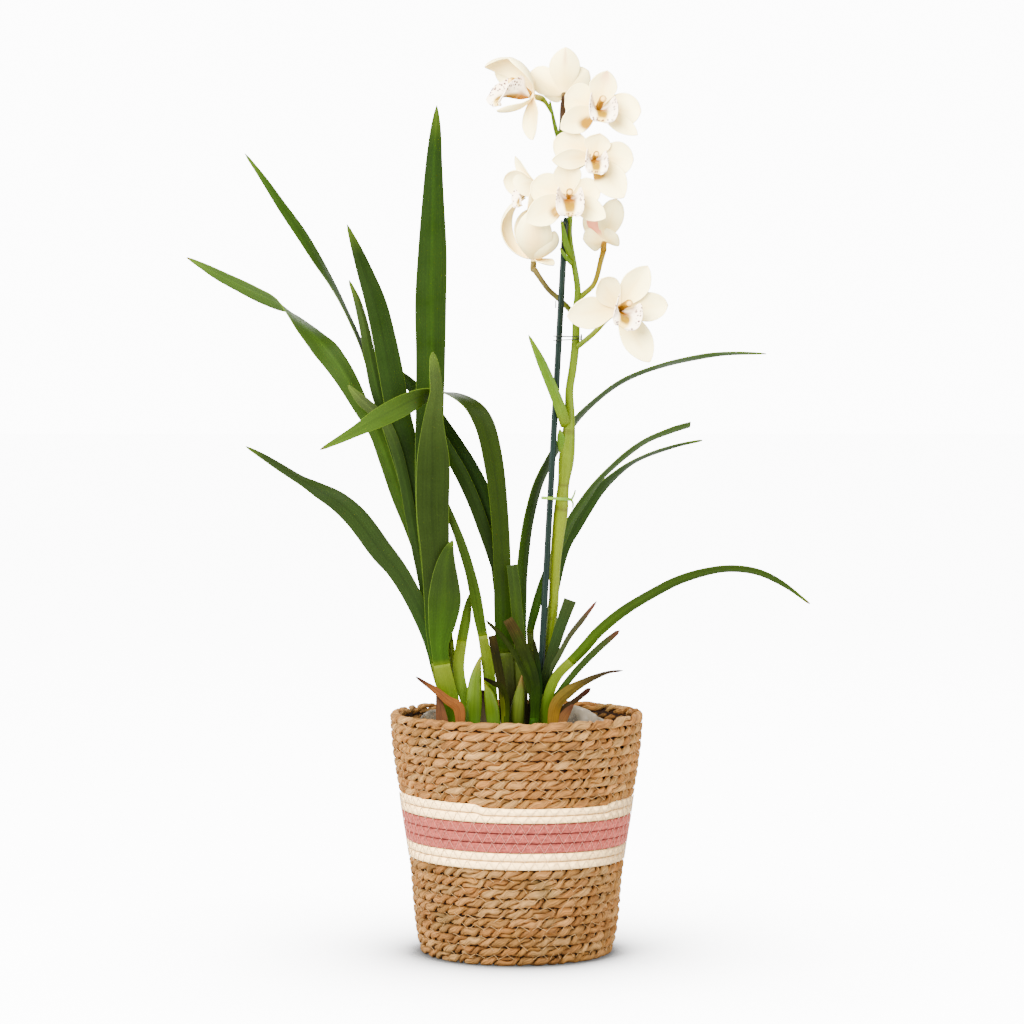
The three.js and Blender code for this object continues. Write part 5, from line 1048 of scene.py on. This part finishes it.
# Column over the lip: place up, place outwards, radius
COLUMN = ((0.2, 2.5, 2.3), (2.2, 7, 2.2), (3.8, 11.5, 2.3), (4.6, 14.6, 2.4), (4.2, 16.6, 1.5),
          (4, 17.2, 0.6))
IVORY = linear("FCEAAA")
WARM = linear("EFCF7C")
AMBER = linear("785400")
STAINS = {3: (-6.3, -12), 4: (1.4, -12), 5: (-6, -12)}   # amber patch below the lip, from the centre


def tepal(piece, key, part, frame_of, outline):
    """One sepal or petal of flower key."""
    azimuth, length, width, lift0, lift1, cup = part
    c, R, U, N = frame_of
    radial = R * math.cos(azimuth * RAD) + U * math.sin(azimuth * RAD)
    sideways = N.cross(radial)
    steps = 30
    rows = []
    spot = c + radial * 1.2
    for i in range(steps + 1):
        t = i / steps
        if i:
            mid = (lift0 + (lift1 - lift0) * (t - 0.5 / steps)) * RAD
            spot = spot + (radial * math.cos(mid) + N * math.sin(mid)) * (length / steps)
        lift = (lift0 + (lift1 - lift0) * t) * RAD
        up = (radial * math.cos(lift) + N * math.sin(lift)).cross(sideways)
        rows.append((spot, up, width / 2 * outline.at(t)[0]))
    seed = key * 3.7 + azimuth * 0.01
    low = math.sin(azimuth * RAD) < -0.1

    def place(u, v):
        p, up, half = rows[round(v * steps)]
        w = math.sin(math.pi * (u - 0.5))
        groove = -0.35 * math.exp(-(w / 0.12) ** 2) * math.sin(math.pi * clamp(v * 1.1))
        wavy = 0.8 * w * w * ripple(v * 3 + seed, w + seed) * smooth(0.1, 0.5, v)
        return p + sideways * (half * w) + up * (cup * half * (w * w - 0.5) + groove + wavy)

    def tint(u, v):
        w = abs(2 * u - 1)
        color = WARM.lerp(IVORY, smooth(0.05, 0.9, v + 0.35 * w))
        if low:
            color = color.lerp(AMBER, smooth(7, 1, v * length + 3 * w))
        if key in STAINS:
            p = place(u, v) - c
            away = math.hypot((p.x - STAINS[key][0]) * 0.7, p.z - STAINS[key][1])
            color = color.lerp(AMBER, smooth(7.6, 4, away))
        else:
            color = linear("F6D68E").lerp(color, smooth(0.0, 0.25, v))
        color = color.lerp(linear("F6DAA0"), 0.5 * smooth(0.9, 1.0, v))
        vein = smooth(0.35, 0.7, ripple(u * 11 + seed, v * 1.3, seed)) * smooth(0.05, 0.3, v)
        rib = smooth(0.07, 0.0, abs(u - 0.5)) * smooth(0.95, 0.6, v)
        color = color.lerp(linear("E6C67A"), 0.22 * vein + 0.3 * rib)
        # Blushes of single tepals
        if (key, azimuth) == (2, 92):
            color = color.lerp(linear("C98F66"), 0.6 * smooth(0.16, 0.04, w) * smooth(0.5, 0.75, v))
        if (key, azimuth) == (3, 89):
            color = color.lerp(linear("DCA377"), 0.7 * smooth(0.45, 0.9, v) * smooth(0.5, 0.1, w))
        if (key, azimuth) in ((7, 12), (7, 180)):
            middle = smooth(0.2, 0.5, v) * smooth(1, 0.7, v)
            color = color.lerp(linear("EFC478"), 0.6 * smooth(0.5, 0.1, w) * middle)
        if (key, azimuth) == (8, 82):
            color = color.lerp(linear("E08469"), 0.9 * smooth(0.1, 0.3, v) * smooth(0.9, 0.6, v))
        return color

    piece.grid(12, steps, place, tint, length)


def lip(piece, key, size, frame_of):
    """The lip of flower key; gives back its column."""
    c, R, U, N = frame_of
    steps = 34
    last = LIP_ROWS.length

    def spot(x, y, z):
        return c + (R * x + U * y + N * (z - 2.6)) * size + N * 3.1

    rows = []
    for i in range(steps + 1):
        s = last * i / steps
        down, out, half, lobe = LIP_ROWS.at(s)
        a, b = LIP_ROWS.at(max(s - 0.2, 0)), LIP_ROWS.at(min(s + 0.2, last))
        run = math.hypot(b[0] - a[0], b[1] - a[1])
        rows.append((down, out, half, lobe, (b[1] - a[1]) / run, -(b[0] - a[0]) / run))

    def place(u, v):
        down, out, half, lobe, nu, nn = rows[round(v * steps)]
        w = math.sin(math.pi * (u - 0.5))
        s = last * v
        lift = lobe * w * w
        frill = 0.7 * abs(w) ** 3 * math.sin(9 * w + s * 3.4 + key) * smooth(3.2, 4.4, s)
        keel = 0.9 * math.exp(-((abs(w) - 0.16) / 0.09) ** 2) * smooth(0.6, 1.4, s) * smooth(4.2, 3.4, s)
        lift += frill + keel
        drawn_in = 1 - abs(lobe) * (0.008 + 0.016 * w ** 4)
        return spot(half * w * drawn_in, down + lift * nu, out + lift * nn)

    def tint(u, v):
        w = abs(math.sin(math.pi * (u - 0.5)))
        s = last * v
        color = linear("F0CC70").lerp(linear("FDEBD0"), smooth(0.3, 0.55, w))
        edge = 0.68 - 0.06 * s
        keel = smooth(edge, edge - 0.18, w) * smooth(1.4, 2.0, s) * smooth(5.3, 4.3, s)
        color = color.lerp(linear("7A5A00"), keel)
        throat = smooth(0.75, 0.45, w) * smooth(2.4, 1.4, s)
        color = color.lerp(linear("805208"), throat)
        blush = smooth(0.6, 0.95, w) * smooth(1.2, 2.2, s) * 0.12
        return color.lerp(linear("EDB4A2"), blush)

    def spots(u, v):
        w = abs(math.sin(math.pi * (u - 0.5)))
        s = last * v
        lobes = smooth(0.6, 0.74, w) * smooth(1.6, 2.2, s) * smooth(4.4, 3.8, s)
        front = smooth(4.6, 5.0, s) * smooth(5.95, 5.6, s) * 0.9
        return max(lobes, front)

    piece.grid(22, steps, place, tint, 30, spots)
    body = Piece(f"flower_{key}_column")
    belly, back, cap = linear("86600C"), linear("B0883A"), linear("DCB468")

    def column_tint(u, v):
        color = belly.lerp(back, smooth(0.1, 0.7, math.sin(TURN * u)))
        return color.lerp(cap, smooth(0.88, 0.97, v))

    body.tube(Curve([[*spot(0, y, z), r * size] for y, z, r in COLUMN]), 20, 22, column_tint)
    return body


# Bracts of the spike: x, z, width, depth
BRACTS = [
    [[37, 397, 7.4, -0.4], [34.6, 406, 8.2, -6], [30.6, 417, 8, -7.6], [24.6, 431.6, 7.6, -8.2],
     [18, 447, 6.4, -8], [9, 466, 1.4, -8]],
    [[42, 521, 3.6, 2.4], [40, 526.5, 4, -2.6], [37.4, 534, 4.4, -5], [35.4, 543, 3.6, -5.4],
     [33.8, 552, 1.2, -5.4]],
    [[42.2, 519, 3, 2.4], [39.6, 521.4, 3, -2.6], [36, 526, 2.6, -6.8], [32.8, 531, 1.2, -7]],
    [[37.6, 592, 3.6, 3], [36, 598, 4, 1], [33.4, 602.6, 1.2, 0]],
    [[36, 376, 7, 0.4], [33.6, 388, 6, -1.2], [32.6, 395, 1.4, -1.4]],
]
# The spike's stalk: x, z, radius, depth
SPIKE = [
    [23, 190, 3.8, 3.5], [24.6, 230, 3.7, 3.5], [27.7, 260, 3.8, 3.5], [29, 290, 4, 3.5],
    [31, 312, 4.6, 3.5], [33.4, 332, 5.4, 3.5], [35.4, 353, 4.4, 3.5], [37.6, 372, 5.9, 3.5],
    [39.3, 391, 5, 3.5], [40, 408, 3.8, 3.5], [39.8, 424, 3.1, 3.5], [42.4, 441, 3.1, 3.5],
    [44.5, 461, 3, 3.5], [45, 485, 2.7, 3.5], [46, 500, 2.4, 3.5], [43, 520, 2.2, 3.5],
    [40, 540, 2, 3.5], [40.4, 560, 2, 3.5], [39.6, 580, 1.9, 3.5], [35.5, 600, 1.8, 4],
    [29.5, 620, 1.7, 5], [25, 641, 0.8, 6]]
SPIKE_GREENS = even("647B02", "758302", "667C02", "587202", "4F6A02")
SPIKE_NODES = (334, 352, 392)   # heights of the rings where bracts grow
spike = Piece("flower_spike_stalks")
spike.tube(Curve([[21.5, SPIKE_Y, SOCKET, 4], [21.7, SPIKE_Y, 160, 4], [*seen(23, SPIKE_Y, 191), 3.9]]),
           20, 14, lambda u, v: linear("697E02"))


def spike_tint(u, v):
    z = 190 + 451 * v
    color = blend(SPIKE_GREENS, v)
    for line in SPIKE_NODES:
        color = color.lerp(linear("545316"), 0.7 * smooth(2.4, 0.4, abs(z - line)))
    speck = smooth(0.45, 0.6, ripple(u * 7, z * 0.22)) * smooth(300, 250, z)
    return color.lerp(linear("512F12"), 0.7 * speck) * (1 + 0.07 * ripple(u * 8, z * 0.02))


spike.tube(stem(SPIKE), 22, 220, spike_tint)
# Colours of a flower's stalk from the spike to the flower
STALKS = {7: ("5F6C02", "544B1C", "827033"), 8: ("6C7E02", "8A7602", "926806"),
          2: ("526A02", "462F1B", "3E2815"), 1: ("517202", "6C7D02", "B5A646")}
COMMON_STALK = ("627802", "7A8502", "C8BC66")
for key, flower in FLOWERS.items():
    c = seen(*flower["c"])
    N = Vector(flower["n"]).normalized()
    U = Vector(flower["u"])
    U = (U - N * U.dot(N)).normalized()
    R = U.cross(N)
    frame_of = (c, R, U, N)
    petals = Piece(f"flower_{key}_petals")
    for part, outline in zip(flower["t"], (SEPAL, PETAL, PETAL, SEPAL, SEPAL)):
        tepal(petals, key, part, frame_of, outline)
    petals.finish(TEPAL, "tepal", thick=0.6)
    seat = Piece(f"flower_{key}_seat")
    seat.tube(Curve([[*(c - N * 1.6), 2.2], [*c, 2.7], [*(c + N * 1.7), 2.2]]), 18, 8,
              fading("D8BE70", "EBD49A"))
    seat.finish(TEPAL, "tepal", f"flower_{key}_tepals", weld=True)
    lobes = Piece(f"flower_{key}_lip_blade")
    column = lip(lobes, key, flower["lip"], frame_of)
    lobes.finish(LIP, "lip", f"flower_{key}_lip", thick=0.6)
    column.finish(LIP, "lip", weld=True)
    stalk = stem(flower["stalk"], [*(c - N * 8), 2.4], [*(c - N * 1.7), 2.2])
    spike.tube(stalk, 16, 40, fading(*STALKS.get(key, COMMON_STALK)))
spike.finish(STALK, "stalk", "flower_spike", weld=True)
small = Piece("spike_bracts")
for readings in BRACTS:
    blade(small, readings, fading("647802", "557402", "4E7102", "5F7902"), 0.3, along=22)
small.finish(STALK, "stalk", thick=0.6)


# Ties that hold the spike to the cane
def loop(piece, z, side, deep, size, lift, tint):
    """Flat or round ring round the cane and the spike; size is half thick and half high."""
    cx, cy, _ = cane_at(z)
    mate = seen(side, SPIKE_Y, z)
    mx, my = (cx + mate.x) / 2, (cy + mate.y) / 2
    rx = math.hypot(mate.x - cx, mate.y - cy) / 2 + deep
    lean = math.atan2(mate.y - cy, mate.x - cx)

    def place(u, v):
        a, b = TURN * v, TURN * u
        out = vec(math.cos(a) / rx, math.sin(a) / deep, 0).normalized()
        p = vec(rx * math.cos(a), (deep + 0.9) * math.sin(a), 0) + out * size[0] * math.cos(b)
        c, s = math.cos(lean), math.sin(lean)
        height = z + lift * math.cos(a) + size[1] * math.sin(b)
        return vec(mx + p.x * c - p.y * s, my + p.x * s + p.y * c, height)

    piece.grid(10, 60, place, tint, 60)


tie = Piece("raffia_band")
pale = fading("6C9A06", "80AC08", "628E06")
loop(tie, 342.5, 34.3, 6.7, (0.45, 1.2), -0.8, pale)
tie.tube(stem([(40.9, 340.8, 0.9, 3.4), (43.2, 345, 0.7, 2), (44.4, 349, 0.5, 1.6)]), 10, 12, pale)
tie.tube(stem([(40.9, 342.4, 0.9, 3.4), (42.6, 339, 0.7, 2), (42.4, 335.6, 0.5, 1.6)]), 10, 12, pale)
tie.finish(RAFFIA, "raffia", "raffia_tie", weld=True)
tie = Piece("wire_band")
dark = fading("051902", "10220A")
loop(tie, 462.2, 44.5, 4.1, (0.4, 0.4), 0.6, dark)
loop(tie, 464.6, 44.5, 4.1, (0.4, 0.4), -0.3, dark)
tie.tube(stem([(48.6, 461.8, 0.7, 3.5), (48.8, 464, 0.7, 3.3), (48.8, 466.4, 0.5, 3)]), 10, 10, dark)
tie.finish(WIRE, "wire", "wire_tie", weld=True)


# Floor, light and camera
def light(name, place, aim, size, watts, color=(1, 1, 1)):
    data = bpy.data.lights.new(name, "AREA")
    data.shape, data.size, data.energy, data.color = "DISK", size, watts, color
    made = bpy.data.objects.new(name, data)
    bpy.context.scene.collection.objects.link(made)
    made.location = place
    made.rotation_euler = (Vector(aim) - Vector(place)).to_track_quat("-Z", "Y").to_euler()
    return made


# White paper sweep, as in a high key studio: it glows near white to the camera alone,
# and a painted contact shadow from the occlusion darkens its colour and glow where the basket stands on it
floor_mesh = bmesh.new()
bmesh.ops.create_grid(floor_mesh, x_segments=4, y_segments=4, size=30)
floor_data = bpy.data.meshes.new("floor")
floor_mesh.to_mesh(floor_data)
floor_mesh.free()
floor = bpy.data.objects.new("floor", floor_data)
bpy.context.scene.collection.objects.link(floor)
paper = bpy.data.materials.new("white_paper_floor")
paper.use_nodes = True
tree = paper.node_tree
sheet = tree.nodes["Principled BSDF"]
sheet.inputs["Roughness"].default_value = 0.9
sheet.inputs["Emission Color"].default_value = (1, 1, 1, 1)
direct = add(tree, "LightPath")
near = add(tree, "AmbientOcclusion", {"Distance": 0.3}, samples=16)
deeper = add(tree, "Math", {0: near.outputs["AO"], 1: 2.0}, operation="POWER")
# Glow and colour of the floor fall off near the basket: painted contact shadow
glow_outside_shadow = add(tree, "MapRange", {"Value": deeper.outputs[0], 1: 0.3, 2: 0.94, 3: 0.1, 4: 10.8})
painted_contact_shadow = add(tree, "MapRange", {"Value": deeper.outputs[0], 1: 0.2, 2: 0.6, 3: 0.1, 4: 0.9})
tree.links.new(painted_contact_shadow.outputs[0], sheet.inputs["Base Color"])
glow = add(tree, "Math", {0: direct.outputs["Is Camera Ray"], 1: glow_outside_shadow.outputs[0]},
           operation="MULTIPLY")
tree.links.new(glow.outputs[0], sheet.inputs["Emission Strength"])
floor_data.materials.append(paper)

# Pale studio all round, brighter as the camera's own background
world = bpy.data.worlds.new("studio")
bpy.context.scene.world = world
world.use_nodes = True
sky = world.node_tree.nodes["Background"]
sky.inputs["Color"].default_value = (1, 1, 1, 1)
direct = add(world.node_tree, "LightPath")
level = add(world.node_tree, "MapRange", {"Value": direct.outputs["Is Camera Ray"], 3: 0.9, 4: 12.5})
world.node_tree.links.new(level.outputs[0], sky.inputs["Strength"])
light("key", (-1.4, -1.8, 2.2), (0, 0, 0.3), 1.2, 104)
light("fill", (1.8, -1.6, 1.2), (0, 0, 0.3), 1.5, 66)
light("left", (-2.0, -0.5, 0.7), (0, 0, 0.2), 1.2, 44)
light("back", (0.6, 1.8, 2.0), (0, 0, 0.4), 1.5, 50)

# A soft lamp kept on the pale flowers and cords, which are nearly white in the photograph
pale_names = (*(f"flower_{key}_" for key in FLOWERS), "basket_cream_cords")
pale_ones = bpy.data.collections.new("pale_pieces")
for made in bpy.context.scene.objects:
    if made.name.startswith(pale_names):
        pale_ones.objects.link(made)
bloom = light("bloom", (-0.5, -1.6, 1.0), (0.05, 0, 0.52), 0.9, 240, (1, 0.97, 0.86))
bloom.light_linking.receiver_collection = pale_ones

camera_data = bpy.data.cameras.new("camera")
camera_data.lens = 116.6
camera_data.sensor_width = 36
camera_data.dof.use_dof = False
camera = bpy.data.objects.new("camera", camera_data)
bpy.context.scene.collection.objects.link(camera)
camera.location = (EYE[0] * MM, -EYE[1] * MM, EYE[2] * MM)
camera.rotation_euler = (87.902 * RAD, 0, 0)
bpy.context.scene.camera = camera
